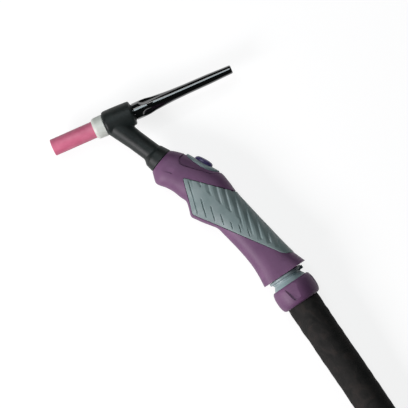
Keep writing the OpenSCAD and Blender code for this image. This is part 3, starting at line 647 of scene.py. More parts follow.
# %% Back cap
CAP_Z, CAP_R = np.array([
    (0.7, 8.8), (8, 8.9), (15, 8.5), (21.4, 7.5), (33.4, 6.5), (41.4, 6.0), (57.1, 5.5),
    (81.1, 5.25), (97.1, 4.7), (104.6, 4.5),
]).T
CAP_FLUTES, CHANNEL_R, CHANNEL_START, CHANNEL_END = 4, 11, 13.5, 49
LIP = 0.25                               # the channel's lip is rounded over by this much, in mm
cap_base = [
    (0, -11), (4.4, -11), (4.7, -10.6), (4.7, -1.5), (6.2, -1.5), (6.4, -1.3), (6.4, 0), (8.1, 0),
    (8.6, 0.2),
]
cap_tip = [(4.45, 105.4), (4.2, 106.1), (3.7, 106.5), (3.2, 106.6), (0, 106.6)]
CAP_ROWS = 300


def cap_place(s, a):
    """Skin of the cap: the smaller of its own radius and the nearest flute's channel."""
    z = CAP_Z[0] + (CAP_Z[-1] - CAP_Z[0]) * s
    r = float(np.interp(z, CAP_Z, CAP_R))
    off = ((a * CAP_FLUTES) % 1 - 0.5) * math.tau / CAP_FLUTES
    centre = 6.9 + CHANNEL_R - 0.026 * (z - CHANNEL_START)
    room = CHANNEL_R**2 - max(0, CHANNEL_START - z) ** 2 - (centre * math.sin(off)) ** 2
    if room > 0 and z < CHANNEL_END:
        channel = centre * math.cos(off) - math.sqrt(room)
        gap = r - channel
        if gap > -LIP:
            r = min(r, channel) - 0.12 * max(0, 1 - abs(gap) / LIP)
    return round_z(r, a, z)


def cap_row(s, a):
    """Rows of the cap: its stem, shoulder, skin and domed tip, in one grid."""
    row = round(s * (len(cap_base) + CAP_ROWS + len(cap_tip))) - len(cap_base)
    if 0 <= row <= CAP_ROWS:
        return cap_place(row / CAP_ROWS, a)
    r, z = cap_base[row] if row < 0 else cap_tip[row - CAP_ROWS - 1]
    return round_z(r, a, z)


bm = rolled(len(cap_base) + CAP_ROWS + len(cap_tip), 192, cap_row, ends=False)
cap = as_object("back_cap_long", bm, HEAD @ moved(0, 0, 22.9), phenolic, sharp=40)
dress(cap, "cap", "gloss_black", "back_cap")

# %% [markdown]
# ## Carving and softening
# Some pieces are easiest to make as whole bodies that are then cut. A boolean modifier does the
# cut, and its result replaces the mesh. A narrow bevel on the sharp edges that are left gives the
# thin highlight that every moulded or machined edge has.

# %% Boolean and bevel helpers
def body_of(bm, place):
    """A loose mesh object to cut or join with; it is removed once it has been used."""
    bmesh.ops.transform(bm, matrix=place, verts=bm.verts)
    bmesh.ops.recalc_face_normals(bm, faces=bm.faces)
    mesh = bpy.data.meshes.new("tool")
    bm.to_mesh(mesh)
    bm.free()
    tool = bpy.data.objects.new("tool", mesh)
    scene.collection.objects.link(tool)
    return tool


def block(place, centre, size):
    """A box round a centre, in millimetres."""
    bm = bmesh.new()
    bmesh.ops.create_cube(bm, size=1, matrix=moved(*centre) @ Matrix.Diagonal((*size, 1)))
    return body_of(bm, place)


def cone(matrix, depth, first, second, sides):
    bm = bmesh.new()
    bmesh.ops.create_cone(
        bm, cap_ends=True, segments=sides, radius1=first, radius2=second, depth=depth,
        matrix=matrix,
    )
    return bm


def rod(place, radius, start, end, sides=64, second=None):
    """A rod or a cone along an axis, from start to end in millimetres."""
    middle = moved(0, 0, (start + end) / 2)
    return body_of(cone(middle, end - start, radius, second or radius, sides), place)


def take_result(obj):
    """Replaces the object's mesh with what its modifiers make of it."""
    result = obj.evaluated_get(bpy.context.evaluated_depsgraph_get())
    fresh, old = bpy.data.meshes.new_from_object(result), obj.data
    obj.modifiers.clear()
    obj.data = fresh
    bpy.data.meshes.remove(old)


def carve(obj, *tools, operation="DIFFERENCE"):
    for tool in tools:
        step = obj.modifiers.new("carve", "BOOLEAN")
        step.object, step.operation, step.solver = tool, operation, "EXACT"
    take_result(obj)
    for tool in tools:
        bpy.data.objects.remove(tool)


def soften(obj, width=0.25):
    """A narrow bevel along the edges that are left sharp, then crisp shading."""
    bevel = obj.modifiers.new("soften", "BEVEL")
    bevel.width, bevel.segments, bevel.angle_limit = width / 1000, 2, math.radians(32)
    bevel.limit_method, bevel.use_clamp_overlap = "ANGLE", True
    take_result(obj)
    crisp(obj.data, 38)
    return obj


print("Tools ready:", bpy.app.version_string)

# %% [markdown]
# ## Rubber over head and neck
# The barrel, the neck and the boot are moulded in one piece. Four closed bodies are laid into
# each other and remeshed on a half millimetre lattice, which joins them; a few rounds of smoothing
# turn the inner corners into the fillets of a rubber moulding. The bores are cut last, so that
# they stay true.

# %% Head cover
LATTICE = 0.0005                         # metres
barrel = body_of(turned([
    (0, -9), (13.3, -9, 3.2), (13.3, 4, 9), (12.6, 21.3, 3.8), (8.6, 21.3, 0.2), (8.6, 22.5, 0.4),
    (0, 22.5),
]), HEAD)
neck_root = rod(NECK, 11.7, 0, 30, 72, 10)
neck_end = rod(NECK, 10, 20, 66, 72)
swell = [
    (10.9 + 1.5 * math.sin(a), 2.4 + 2.8 * a / math.pi * 2) for a in np.linspace(-1.45, 1.45, 12)
]
boot = body_of(
    turned([(0, -0.2), *swell, (13.1, 9.6, 2), (13.9, 14.2, 2), (14.0, 18.5), (0, 18.5)]),
    NECK @ moved(0, -1.25, 50.2),
)
carve(boot, block(HANDLE @ spun(2.45, "Z") @ moved(14.75, 0, 0), (0, 0, 0), (30, 80, 80)))
cover = as_object("head_rubber", bmesh.new(), Matrix(), rubber)
bm = bmesh.new()
for part in (barrel, neck_root, neck_end, boot):
    bm.from_mesh(part.data)
    bpy.data.objects.remove(part)
bm.to_mesh(cover.data)
bm.free()
joined = cover.modifiers.new("lattice", "REMESH")
joined.mode, joined.voxel_size, joined.use_smooth_shade = "VOXEL", LATTICE, True
ease = cover.modifiers.new("ease", "SMOOTH")
ease.factor, ease.iterations = 0.5, 12
take_result(cover)
print("Rubber after the lattice:", len(cover.data.polygons), "faces")
carve(
    cover, rod(HEAD, 9.52, -30, 19.5), rod(HEAD, 7.0, 10, 40), rod(NECK, 7.02, 0, 16),
    rod(NECK, 6.02, 10, 90),
)
cover.data.materials.clear()
cover.data.materials.append(rubber)
crisp(cover.data, 50)
dress(cover, "torch", "black_rubber", "head_cover")

# %% [markdown]
# ## The handle's skin
# The handle is described by sections: for each, its top point, its bottom point, half its width
# and how square its outline is above and below the middle. A smooth curve through these values
# gives the skin at any place, and its normal. Everything on the handle, from the shell to the
# grip pads and the switch frame, is built on this one skin.

# %% Sections and the smooth skin
sections = np.array([
    [-0.6, 14.0, 0.6, -14.0, 14.0, 2.1, 2.1], [1.8, 15.7, 3.0, -15.6, 15.2, 2.2, 2.2],
    [7.0, 18.6, 6.6, -17.9, 16.4, 2.3, 2.3], [12.5, 21.3, 10.4, -19.8, 17.4, 2.3, 2.4],
    [17.5, 22.9, 13.8, -19.5, 17.9, 2.2, 2.5], [23.0, 24.7, 21.0, -16.5, 18.0, 2.1, 2.5],
    [29.0, 26.4, 28.5, -14.5, 17.9, 2.1, 2.4], [38.3, 28.6, 38.0, -13.8, 17.7, 2.1, 2.3],
    [46.0, 30.2, 45.9, -13.1, 17.8, 2.2, 2.3], [50.5, 31.4, 49.4, -14.7, 18.1, 2.3, 2.4],
    [54.5, 31.8, 54.0, -17.7, 18.5, 2.4, 2.4], [60.5, 31.0, 59.6, -20.9, 18.9, 2.5, 2.4],
    [66.1, 30.1, 65.5, -19.4, 19.0, 2.5, 2.3], [73.0, 28.6, 72.5, -17.2, 18.7, 2.5, 2.3],
    [80.0, 27.2, 79.0, -14.6, 18.2, 2.5, 2.3], [88.0, 26.5, 86.8, -11.8, 17.6, 2.5, 2.3],
    [98.0, 25.7, 97.0, -12.0, 17.2, 2.5, 2.3], [109.0, 24.8, 107.6, -12.6, 17.2, 2.5, 2.3],
    [122.0, 23.9, 119.0, -13.4, 17.8, 2.6, 2.4], [134.0, 23.0, 130.0, -14.7, 18.6, 2.7, 2.5],
    [147.0, 22.2, 140.5, -16.6, 19.5, 2.8, 2.6], [158.5, 21.9, 150.5, -19.5, 20.4, 3.0, 2.8],
    [172.6, 23.4, 161.2, -23.4, 21.4, 3.2, 3.0],
])
knots = (sections[:, 0] + sections[:, 2]) / 2
gaps = np.diff(knots)[:, None]
slopes = np.diff(sections, axis=0) / gaps
inner_slopes = (slopes[:-1] * gaps[1:] + slopes[1:] * gaps[:-1]) / (gaps[1:] + gaps[:-1])
tangents = np.vstack([slopes[:1], inner_slopes, slopes[-1:]])


def signed_power(x, p):
    return np.sign(x) * np.abs(x) ** p


def skin_at(s, a, grow=0.0):
    """Points of the skin: s from 0 to 1 along it, a in radians from half width up to the top."""
    x = knots[0] + s * (knots[-1] - knots[0])
    i = np.clip(np.searchsorted(knots, x, "right") - 1, 0, len(knots) - 2)
    h = gaps[i]
    f = ((x - knots[i]) / h[:, 0])[:, None]
    row = (
        sections[i] * (1 + 2 * f) * (1 - f) ** 2 + tangents[i] * h * f * (1 - f) ** 2
        + sections[i + 1] * f * f * (3 - 2 * f) + tangents[i + 1] * h * f * f * (f - 1)
    )
    power = 2 / np.where(np.sin(a) > 0, row[:, 5], row[:, 6])
    lift = ((1 + signed_power(np.sin(a), power)) / 2)[:, None]
    low = row[:, 2:4] - np.array([0, grow])
    top = row[:, 0:2] + np.array([0, grow])
    mid = low + (top - low) * lift
    return np.column_stack([mid, (row[:, 4] + grow) * signed_power(np.cos(a), power)])


def skin_normal(s, a):
    e, g = 0.002, 0.03
    ahead = skin_at(np.clip(s + e, 0, 1), a) - skin_at(np.clip(s - e, 0, 1), a)
    n = np.cross(ahead, skin_at(s, a + g) - skin_at(s, a - g))
    return n / np.linalg.norm(n, axis=1)[:, None]


def edges_of(outline):
    """Pairs of neighbouring corners of a closed outline, as arrays."""
    corners = [np.array(p, float) for p in outline]
    return list(zip(corners, corners[1:] + corners[:1]))


def depth_in(points, outline):
    """How deep points of the handle's plane lie inside an outline, in mm; negative outside."""
    points = points[:, :2]
    best = np.full(len(points), 1e9)
    inside = np.zeros(len(points), bool)
    for p, q in edges_of(outline):
        f = np.clip(((points - p) @ (q - p)) / ((q - p) @ (q - p)), 0, 1)[:, None]
        best = np.minimum(best, np.linalg.norm(points - (p + f * (q - p)), axis=1))
        crosses = (p[1] > points[:, 1]) != (q[1] > points[:, 1])
        run = np.where(crosses, (points[:, 1] - p[1]) / (q[1] - p[1] + 1e-12), 0)
        inside ^= crosses & (points[:, 0] < p[0] + run * (q[0] - p[0]))
    return np.where(inside, best, -best)


def smooth_step(x):
    x = np.clip(x, 0, 1)
    return x * x * (3 - 2 * x)


pad_outline = [
    (29.2, 2.5), (29.4, 3.7), (77.0, 28.9), (84, 40), (163, 30), (157.9, 21.4), (154.1, 16.9),
    (150.4, 14.5), (60.4, -17.7), (58.4, -17.3),
]
saddle_outline = [
    (11.4, 30), (11.4, 16), (12.8, 13.2), (16.4, 10.9), (21.5, 12.4), (38, 20.6), (46.3, 24.6),
    (51.6, 30), (54, 40),
]
rest_start = np.array([8.0, -5.9])       # the finger rest's edge: its start and its two directions
rest_along, rest_across = np.array([0.905, 0.425]), np.array([-0.425, 0.905])
print("Skin at the waist:", np.round(skin_at(np.array([0.55]), np.array([0.0]))[0], 1))

# %% [markdown]
# ### Handle shells
# Each half starts as a grid over half of the skin. Planes cut the grid along every edge of the
# recesses, so that the steps down to the switch saddle and to the pad's bed will be crisp. A flat
# parting face closes the half, and the hollow, the neck's bore, the swivel's socket and the switch
# pocket are cut out of it. Only then are the vertices that lie on the skin pressed in: the
# booleans get the smooth body, and the recesses cannot upset them.

# %% Shell halves
def skin_grid(along, around, depth_of, lines, side, grow=0.0):
    """Half of the skin in handle millimetres, cut along lines, and each vertex's push inwards."""
    bm, flat = grid(along, around)
    s, a = flat[:, 0], (flat[:, 1] - 0.5) * math.pi
    at_s, at_a = bm.verts.layers.float.new("s"), bm.verts.layers.float.new("a")
    for vert, p, one, two in zip(bm.verts, skin_at(s, a, grow), s, a):
        vert.co, vert[at_s], vert[at_a] = p, one, two
    for (x, y), (nx, ny) in lines:
        bmesh.ops.bisect_plane(
            bm, geom=bm.verts[:] + bm.edges[:] + bm.faces[:], dist=0.02,
            plane_co=(x, y, 0), plane_no=(nx, ny, 0),
        )
    bm.verts.ensure_lookup_table()
    s = np.array([v[at_s] for v in bm.verts])
    a = np.array([v[at_a] for v in bm.verts])
    place = np.array([v.co for v in bm.verts])
    push = skin_normal(s, a) * -depth_of(place)[:, None]
    inner = place[:, 2] > 0.01
    push[inner, 2] = np.maximum(push[inner, 2], 0.03 - place[inner, 2])   # stays on its own side
    push[~inner, 2] = 0
    push[:, 2] *= side
    for vert, off_plane in zip(bm.verts, inner):
        vert.co.z *= side * off_plane
    return bm, push


def press_in(obj, tree, faces, corners, push):
    """Moves the vertices of a carved shell that still lie on the skin, as their face is pushed."""
    back = HANDLE.inverted()
    count = 0
    for vert in obj.data.vertices:
        spot, _, index, distance = tree.find_nearest(back @ vert.co)
        if distance > 0.01:
            continue
        ring = faces[index]
        share = poly_3d_calc([corners[i] for i in ring], spot)
        step = sum((Vector(push[i]) * w for i, w in zip(ring, share)), Vector())
        if step.length > 1e-5:
            vert.co = HANDLE @ (spot + step)
            count += 1
    print(obj.name, "vertices pressed in:", count)


def edge_lines(outline, *insets):
    """Cutting lines beside each edge of an outline, at the given distances inside it."""
    lines = []
    for p, q in edges_of(outline):
        n = np.array([q[1] - p[1], p[0] - q[0]]) / np.linalg.norm(q - p)
        if depth_in(np.array([(p + q) / 2 + n * 0.01]), outline)[0] < 0:
            n = -n
        lines += [(tuple(p + n * d), tuple(n)) for d in insets]
    return lines


def shell_depth(points):
    """Depth of the recesses at points of the skin: saddle's step, pad's bed and finger rest."""
    along = (points[:, :2] - rest_start) @ rest_along
    past = (points[:, :2] - rest_start) @ rest_across
    rest = 0.6 * smooth_step(past / 0.4) * smooth_step((7 - past) / 6)
    rest *= smooth_step(along / 6) * smooth_step((10.9 - along) / 0.5)
    step = depth_in(points, saddle_outline)
    flank = smooth_step((points[:, 2] - 2) / 6)
    groove = 0.9 * flank * np.clip((1.1 - step) / 0.25, 0, 1)
    saddle = np.clip(step / 0.15, 0, 1) * (0.4 + 0.4 * flank + groove)
    bed = 1.6 * smooth_step((depth_in(points, pad_outline) + 0.45) / 0.3)
    return np.maximum(np.maximum(saddle, bed), rest)


def close_half(bm):
    """Closes a half of the skin: a face over each end, then the flat parting face between them."""
    at = bm.verts.layers.float["s"]
    rim = [e for e in bm.edges if e.is_boundary]
    flat = [e for e in rim if all(v.co.z == 0 for v in e.verts)]
    for end in (0, 1):
        arc = [e for e in rim if all(abs(v[at] - end) < 1e-5 for v in e.verts)]
        seam = bm.edges.new({v for e in arc for v in e.verts if v.co.z == 0})
        bmesh.ops.edgeloop_fill(bm, edges=[*arc, seam])
        flat.append(seam)
    bmesh.ops.edgeloop_fill(bm, edges=flat)
    bmesh.ops.triangulate(bm, faces=[f for f in bm.faces if len(f.verts) > 12])
    return bm


def whole_skin(along, around, first=0.0, last=1.0, grow=0.0):
    """The skin all the way round the handle, from one share of its length to another."""
    bm, flat = grid(along, around)
    turn = (2 * flat[:, 1] - 0.5) * math.pi
    for vert, p in zip(bm.verts, skin_at(first + flat[:, 0] * (last - first), turn, grow)):
        vert.co = p
    return bm


def handle_cutters():
    """Hollow, neck bore, boot bore, socket and switch pocket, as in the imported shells."""
    first, last = (np.array([7.0, 133.0]) - knots[0]) / (knots[-1] - knots[0])
    hollow = whole_skin(60, 48, first, last, -2.6)
    bmesh.ops.remove_doubles(hollow, verts=hollow.verts, dist=MERGE)
    close_holes(hollow)
    oval = cone(Matrix.Diagonal((10.7, 6.9, 1, 1)) @ moved(0, 0, 4), 20, 1, 1, 64)
    return [
        body_of(hollow, HANDLE), body_of(oval, SWITCH),
        block(SWITCH, (0, 0, -6.4), (13.6, 6.6, 12)),
        rod(NECK, 10.3, -10, 79), rod(NECK @ moved(0, -1.25, 0), 13.4, 40, 67),
        rod(NECK, 8.6, 110, 136), rod(TAIL, 14.9, -14.4, 25.6), rod(TAIL, 18.0, -10.4, -5.6),
        rod(TAIL, 9.6, -70, 30),
    ]


screws = [(9, -11), (32, -9.5), (51, 23.8), (108, -7.5), (146, -12)]
shell_lines = edge_lines(saddle_outline, 0.0, 0.15, 0.85, 1.1)
shell_lines += edge_lines(pad_outline, -0.45, -0.15)
shell_lines += [(tuple(rest_start + rest_across * d), tuple(rest_across)) for d in (0, 0.4)]
for side, name, solid in (
    (1, "handle_shell_upper", "handle_shell_left"),
    (-1, "handle_shell_lower", "handle_shell_right"),
):
    bm, push = skin_grid(300, 88, shell_depth, shell_lines, side)
    corners = [v.co.copy() for v in bm.verts]
    faces = [tuple(v.index for v in f.verts) for f in bm.faces]
    tree = BVHTree.FromPolygons(corners, faces)
    shell = as_object(name, close_half(bm), HANDLE, abs_purple)
    tools = handle_cutters()
    if side < 0:
        for x, y in screws:
            well = HANDLE @ moved(x, y, 0)
            tools += [rod(well, 3.6, -30, -13, 48), rod(well, 1.7, -14, 8, 32)]
    carve(shell, *tools)
    press_in(shell, tree, faces, corners, push)
    crisp(shell.data, 33)
    dress(shell, "torch", "purple_shell", solid)

# %% [markdown]
# ## Grip pads
# A pad is the same skin, grown by half a millimetre. The grid is cut along the pad's outline and
# everything outside is dropped. Its edge rolls over, ten slanting flutes are pressed into it, and a
# plain band is left along its middle. The flutes are narrow cuts on the flank and widen towards the
# back into troughs with one steep wall, which the fingers feel as a step. A second, deeper layer
# closes the pad underneath.

# %% Fluted pads
FLUTE_ANGLE = math.radians(-32.4)
FLUTES, FLUTE_FIRST, FLUTE_STEP = 10, 22.7, 7.45
flute_along = np.array([math.cos(FLUTE_ANGLE), math.sin(FLUTE_ANGLE)])
flute_across = np.array([-flute_along[1], flute_along[0]])
flute_places = [FLUTE_FIRST + FLUTE_STEP * k for k in range(FLUTES)]
band_outline = [(50, -0.6), (93, 2.6), (100, 4.6), (102, 8.2), (98, 11.0), (37.5, 8.2)]


def edge_at(d, p, q, inset):
    """How far along a flute the edge from p to q lies, less an inset."""
    p, q = np.array(p), np.array(q)
    n = np.array([p[1] - q[1], q[0] - p[0]]) / np.linalg.norm(q - p)
    return (inset - (d * flute_across - p) @ n) / (flute_along @ n)


def flute_depth(uv):
    """Depth of the flutes: narrow cuts on the flank, broad troughs with a steep far wall behind."""
    u, v = uv.T
    deep = np.zeros(len(uv))
    back = smooth_step((v - 2 - 0.07 * (u - 38) + 0.12 * np.maximum(0, u - 85)) / 8)
    for d in flute_places:
        start = edge_at(d, (77.0, 28.9), (28.3, 3.1), 0.9)
        end = edge_at(d, (60.4, -17.7), (150.4, 14.5), 3.3)
        off = uv @ flute_across - d
        past = np.maximum(start - uv @ flute_along, uv @ flute_along - end)
        narrow = smooth_step((off + 1.15) / 0.45) * np.clip(1 - (off + 0.4) / 0.8, 0, 1)
        broad = np.clip((off + 1.15) / 3.6, 0, 1) * np.clip((3.9 - off) / 1.2, 0, 1)
        cut = narrow * (1 - back) + broad * back
        deep = np.maximum(deep, cut * smooth_step((0.9 - past) / 0.9))
    return deep * (1 - smooth_step((depth_in(uv, band_outline) + 0.3) / 0.5))


def pad_depth(points):
    """The rolled rim, and the flutes, which fade out over the top."""
    from_rim = np.clip(depth_in(points, pad_outline) / 0.7, 0, 1)
    rim = 0.45 * (1 - np.sqrt(np.clip(1 - (1 - from_rim) ** 2, 0, 1)))
    return rim + flute_depth(points[:, :2]) * smooth_step((points[:, 2] - 1.5) / 4)


pad_lines = edge_lines(pad_outline, 0.0, 0.2, 0.6) + [
    (tuple(flute_across * (d + off)), tuple(flute_across))
    for d in flute_places for off in (-1.15, -0.7, -0.4, 0.4, 2.6, 3.9)
]
for side, name, solid in (
    (1, "grip_pad_upper", "grip_pad_left"), (-1, "grip_pad_lower", "grip_pad_right"),
):
    bm, push = skin_grid(260, 76, pad_depth, pad_lines, side, 0.5)
    outside = depth_in(np.array([v.co for v in bm.verts]), pad_outline) < -0.03
    drop = [v for v, out in zip(bm.verts, outside) if out]
    for vert, step in zip(bm.verts, push):
        vert.co += Vector(step)
    bmesh.ops.delete(bm, geom=drop, context="VERTS")
    pad = as_object(name, bm, HANDLE, tpe_grey)
    depth = pad.modifiers.new("thickness", "SOLIDIFY")
    depth.thickness, depth.offset, depth.use_even_offset = 0.0018, -1, False
    take_result(pad)
    crisp(pad.data, 60)
    dress(pad, "torch", "grey_grip", solid)

# %% [markdown]
# ## Switch frame and button
# The frame follows the skin round the button. Rays shot down the switch's axis find the skin under
# every point of the oval, and a small rounded section is laid on it all the way round.

# %% Bezel and button
bm = whole_skin(300, 120)
skin_tree = BVHTree.FromBMesh(bm)
bm.free()
SWITCH_LOCAL = HANDLE.inverted() @ SWITCH        # switch millimetres to handle millimetres
down = -(SWITCH_LOCAL.to_3x3() @ Vector((0, 0, 1))).normalized()
RAY_START = 30
OPENING_X, OPENING_Y, RIM_X, RIM_Y = 10.1, 6.3, 18.55, 10.15


def skin_height(x, y):
    """Height of the skin over the switch's own plane at x along and y across the handle."""
    start = SWITCH_LOCAL @ Vector((x, y, RAY_START))
    hit = skin_tree.ray_cast(start, down)[0]
    return RAY_START - (hit - start).length if hit else 0.0


# across the frame: share of the way from the button's opening to the rim, and height on the skin
frame_section = [
    (0.0, -1.5), (0.0, 0.3), (0.03, 0.62), (0.1, 0.8), (0.3, 0.86), (0.55, 0.86), (0.8, 0.82),
    (0.93, 0.7), (0.99, 0.4), (1.0, 0.1), (1.0, -1.5), (0.5, -1.5), (0.0, -1.5),
]


def frame_place(s, a):
    share, height = frame_section[round(s * (len(frame_section) - 1))]
    turn = a * math.tau
    x = (OPENING_X + (RIM_X - OPENING_X) * share) * math.cos(turn)
    y = (OPENING_Y + (RIM_Y - OPENING_Y) * share) * math.sin(turn)
    return Vector((x, y, skin_height(x, y) + height))


bm = rolled(len(frame_section) - 1, 144, frame_place, ends=False)
dress(as_object("switch_frame", bm, SWITCH, nylon, sharp=50), "torch", "pale_teal", "switch_bezel")

button_rows = [
    (0, 0, -6.4), (0.9, 0.9, -6.4), (0.9, 0.9, -4.1), (2, 2, -4.0), (2, 2, -2.2), (9.6, 5.8, -2.2),
    (9.8, 6.0, -2.0), (9.8, 6.0, 1.4), (9.7, 5.92, 2.2), (9.35, 5.65, 2.95), (8.7, 5.2, 3.6),
    (7.6, 4.4, 4.2), (6.0, 3.4, 4.62), (4.0, 2.3, 4.87), (2.0, 1.1, 4.97), (0, 0, 5.0),
]


def button_place(s, a):
    rx, ry, z = button_rows[round(s * (len(button_rows) - 1))]
    turn = a * math.tau
    return Vector((rx * math.cos(turn) + 0.1 * max(0, z), ry * math.sin(turn), z))


bm = rolled(len(button_rows) - 1, 96, button_place, ends=False)
dress(
    as_object("trigger_button", bm, SWITCH, indigo, sharp=50),
    "button", "indigo_button", "switch_button",
)

# %% [markdown]
# ## Swivel and collar
# The handle holds a pale ring, a waist and a ball, moulded in one piece and bored for the cable.
# The purple collar clips over the ball; four shallow recesses in it give the fingers a hold.

# %% Swivel ball
BALL_R, BALL_Z, SOCKET_R = 19.5, 20, 19.8


def arc_profile(radius, start, end, steps):
    """Profile of a sphere round the ball's centre, between two heights."""
    return [(math.sqrt(radius**2 - (t - BALL_Z) ** 2), t) for t in np.linspace(start, end, steps)]


bm = turned([
    (10, -14), (14.5, -14, 0.4), (14.5, -10), (17.6, -10, 0.4), (17.6, -6, 0.4), (14.5, -6),
    (14.5, 2), (16.6, 2.0, 0.6), (18.2, 2.2, 1.4), (18.2, 5.0, 1.4), (15.9, 5.2, 0.4), (15.9, 7.0),
    (15.3, 7.2, 0.3), *arc_profile(BALL_R, 8.2, 33, 22), (10, 33), (10, -14),
], sides=128)
swivel = as_object("swivel_body", bm, TAIL, nylon)
carve(swivel, block(TAIL, (0, 16.7, 5.1), (8, 5.4, 3.4)), operation="UNION")
dress(soften(swivel, 0.2), "torch", "pale_teal", "swivel_ball")

# %% Collar
RECESS_FLOOR_R = 20.7
bm = turned([
    (18.3, 12.3), (19.6, 12.3, 0.5), (21.2, 13.9, 0.8), (22.1, 16.3, 2), (22.5, 19.2, 2),
    (22.5, 25, 2), (22.2, 28.2, 2), (21.5, 31.4, 2), (20.4, 33.6, 1), (18.4, 34.6, 0.6),
    (17.6, 34.6, 0.3), *arc_profile(SOCKET_R, 29.08, 12.3, 20),
], sides=180)
bmesh.ops.remove_doubles(bm, verts=bm.verts, dist=0.001)
bmesh.ops.bridge_loops(bm, edges=[e for e in bm.edges if e.is_boundary])
collar = as_object("swivel_collar_ring", bm, TAIL, abs_purple)
recess = [
    (-6.6, 14.9), (-5.4, 13.6), (5.4, 13.6), (6.6, 14.9), (3.9, 28.6), (2.9, 29.8), (-2.9, 29.8),
    (-3.9, 28.6),
]
outwards = Matrix(((0, 0, 1, 0), (1, 0, 0, 0), (0, 1, 0, 0), (0, 0, 0, 1)))
tools = []
for k in range(4):
    bm = bmesh.new()
    face = bm.faces.new([bm.verts.new((x, t, 0)) for x, t in recess])
    grown = bmesh.ops.extrude_face_region(bm, geom=[face])["geom"]
    far_side = [g for g in grown if isinstance(g, bmesh.types.BMVert)]
    bmesh.ops.translate(bm, vec=(0, 0, 6), verts=far_side)
    out = spun(93 + k * 90, "Z") @ moved(RECESS_FLOOR_R, 0, 0) @ outwards
    tools.append(body_of(bm, TAIL @ out))
carve(collar, *tools)
dress(soften(collar, 0.22), "collar", "purple_shell", "swivel_collar")

# %% [markdown]
# ## Far ends of the lead
# Past the sleeve come a moulded cuff, the coil's two straps, the power connector with its boot and
# pin, and the switch plug with its knurled ring. Most of them are turned shapes; the boot has
# grooves so that it can bend, and a short branch where the switch cable leaves.

# %% Frames of the lead's ends
CUFF = axis_at(sleeve_points[-1], math.degrees(math.atan2(26, -38)), MM)
PLUG = MM @ moved(82, -318, 15) @ spun(25, "Z") @ spun(-90, "Y")
SWITCH_PLUG = axis_at(switch_lead_points[-1], math.degrees(math.atan2(33, 97)), MM)
bm = turned([(0, 0.2), (16.8, 0.2, 0.8), (16.8, 9.2, 3), (12, 15), (9, 24, 0.8), (0, 24)])
dress(as_object("sleeve_end_cuff", bm, CUFF, rubber), "torch", "black_rubber", "sleeve_cuff")

# %% Connector
boot_line = [(0, 0), (9.5, 0, 0.8)]
for t in (6, 11, 16):
    side_r, groove_r = 9.5 + 4 * t / 26, 8.9 + 0.15 * t
    boot_line += [
        (side_r, t, 0.3), (groove_r, t + 0.1, 0.3), (groove_r, t + 1.5, 0.3),
        (side_r + 0.25, t + 1.6, 0.3),
    ]
boot_line += [(12.9, 22, 0.8), (15, 26, 0.8), (15, 45, 0.8), (11, 45), (11, 33), (0, 33)]
boot = as_object("connector_rubber_boot", turned(boot_line), PLUG, rubber)
carve(boot, rod(PLUG @ moved(0, -16.5, 0), 3.6, 34, 47, 48), operation="UNION")
dress(soften(boot), "torch", "black_rubber", "connector_boot")

bm = turned([(0, 33), (11, 33), (11, 45), (12.6, 45, 0.4), (12.6, 61, 0.3), (0, 61)])
body = as_object("connector_brass_body", bm, PLUG, brass)
end_piece = turned([
    (0, 70.9), (8.4, 70.9), (8.4, 72, 0.2), (7.4, 72), (7.4, 74.2), (8.4, 74.2, 0.2),
    (8.4, 75, 0.2), (0, 75),
])
carve(body, rod(PLUG, 12.6, 60.9, 71, 6), body_of(end_piece, PLUG), operation="UNION")
dress(soften(body), "torch", "brass", "connector_body")

bm = turned([
    (0, 75), (6.1, 75), (6.1, 75.8), (6.5, 75.8, 0.2), (6.5, 95.8, 0.3), (5.3, 97, 0.3),
    (2, 97, 0.2), (2, 80), (0, 80),
])
dress(as_object("connector_contact_pin", bm, PLUG, brass), "torch", "brass", "connector_pin")

# %% Switch plug and ring
bm = turned([(0, 0.4), (4, 0.4, 0.5), (6, 10, 0.5), (7.4, 10, 0.5), (7.4, 36, 0.5), (0, 36)])
dress(
    as_object("switch_plug_body", bm, SWITCH_PLUG, dark_nylon),
    "torch", "dark_plastic", "switch_plug",
)
RING_GROOVES = 12
ring_rows = [
    (7.45, 20), (7.45, 32), (7.8, 32), (8.1, 31.6), (8.1, 20.4), (7.8, 20), (7.45, 20),
]


def ring_place(s, a):
    r, t = ring_rows[round(s * (len(ring_rows) - 1))]
    if r > 7.9:
        r -= 0.35 * max(0, math.cos(a * math.tau * RING_GROOVES)) ** 6
    return round_z(r, a, t)


bm = rolled(len(ring_rows) - 1, 288, ring_place, ends=False)
dress(as_object("switch_plug_nut", bm, SWITCH_PLUG, steel), "torch", "steel", "switch_plug_ring")

# %% [markdown]
# ## Straps
# A strap is a flat section carried round a rounded rectangle. Its edges are softly rounded, as
# woven tape is.

# %% Coil straps
STRAP_ROOM = 29.4                        # height of the coil's two layers, in mm
strap_section = [
    (-9, -0.3), (-8.7, -0.6), (8.7, -0.6), (9, -0.3), (9, 0.3), (8.7, 0.6), (-8.7, 0.6), (-9, 0.3),
]


def strap_loop(inner, outer):
    """Centre line of a strap: a rounded rectangle round the coil, in the strap's own plane."""
    wide, high, r = outer - inner + 1.2, STRAP_ROOM + 1.2, 7.6
    line = []
    for cx, cz, start in ((1, 1, 0), (-1, 1, 90), (-1, -1, 180), (1, -1, 270)):
        for k in range(13):
            a = math.radians(start + k * 7.5)
            line.append(Vector((
                (inner + outer) / 2 + cx * (wide / 2 - r) + r * math.cos(a), 0,
                STRAP_ROOM / 2 + 1.3 + cz * (high / 2 - r) + r * math.sin(a),
            )))
    return line


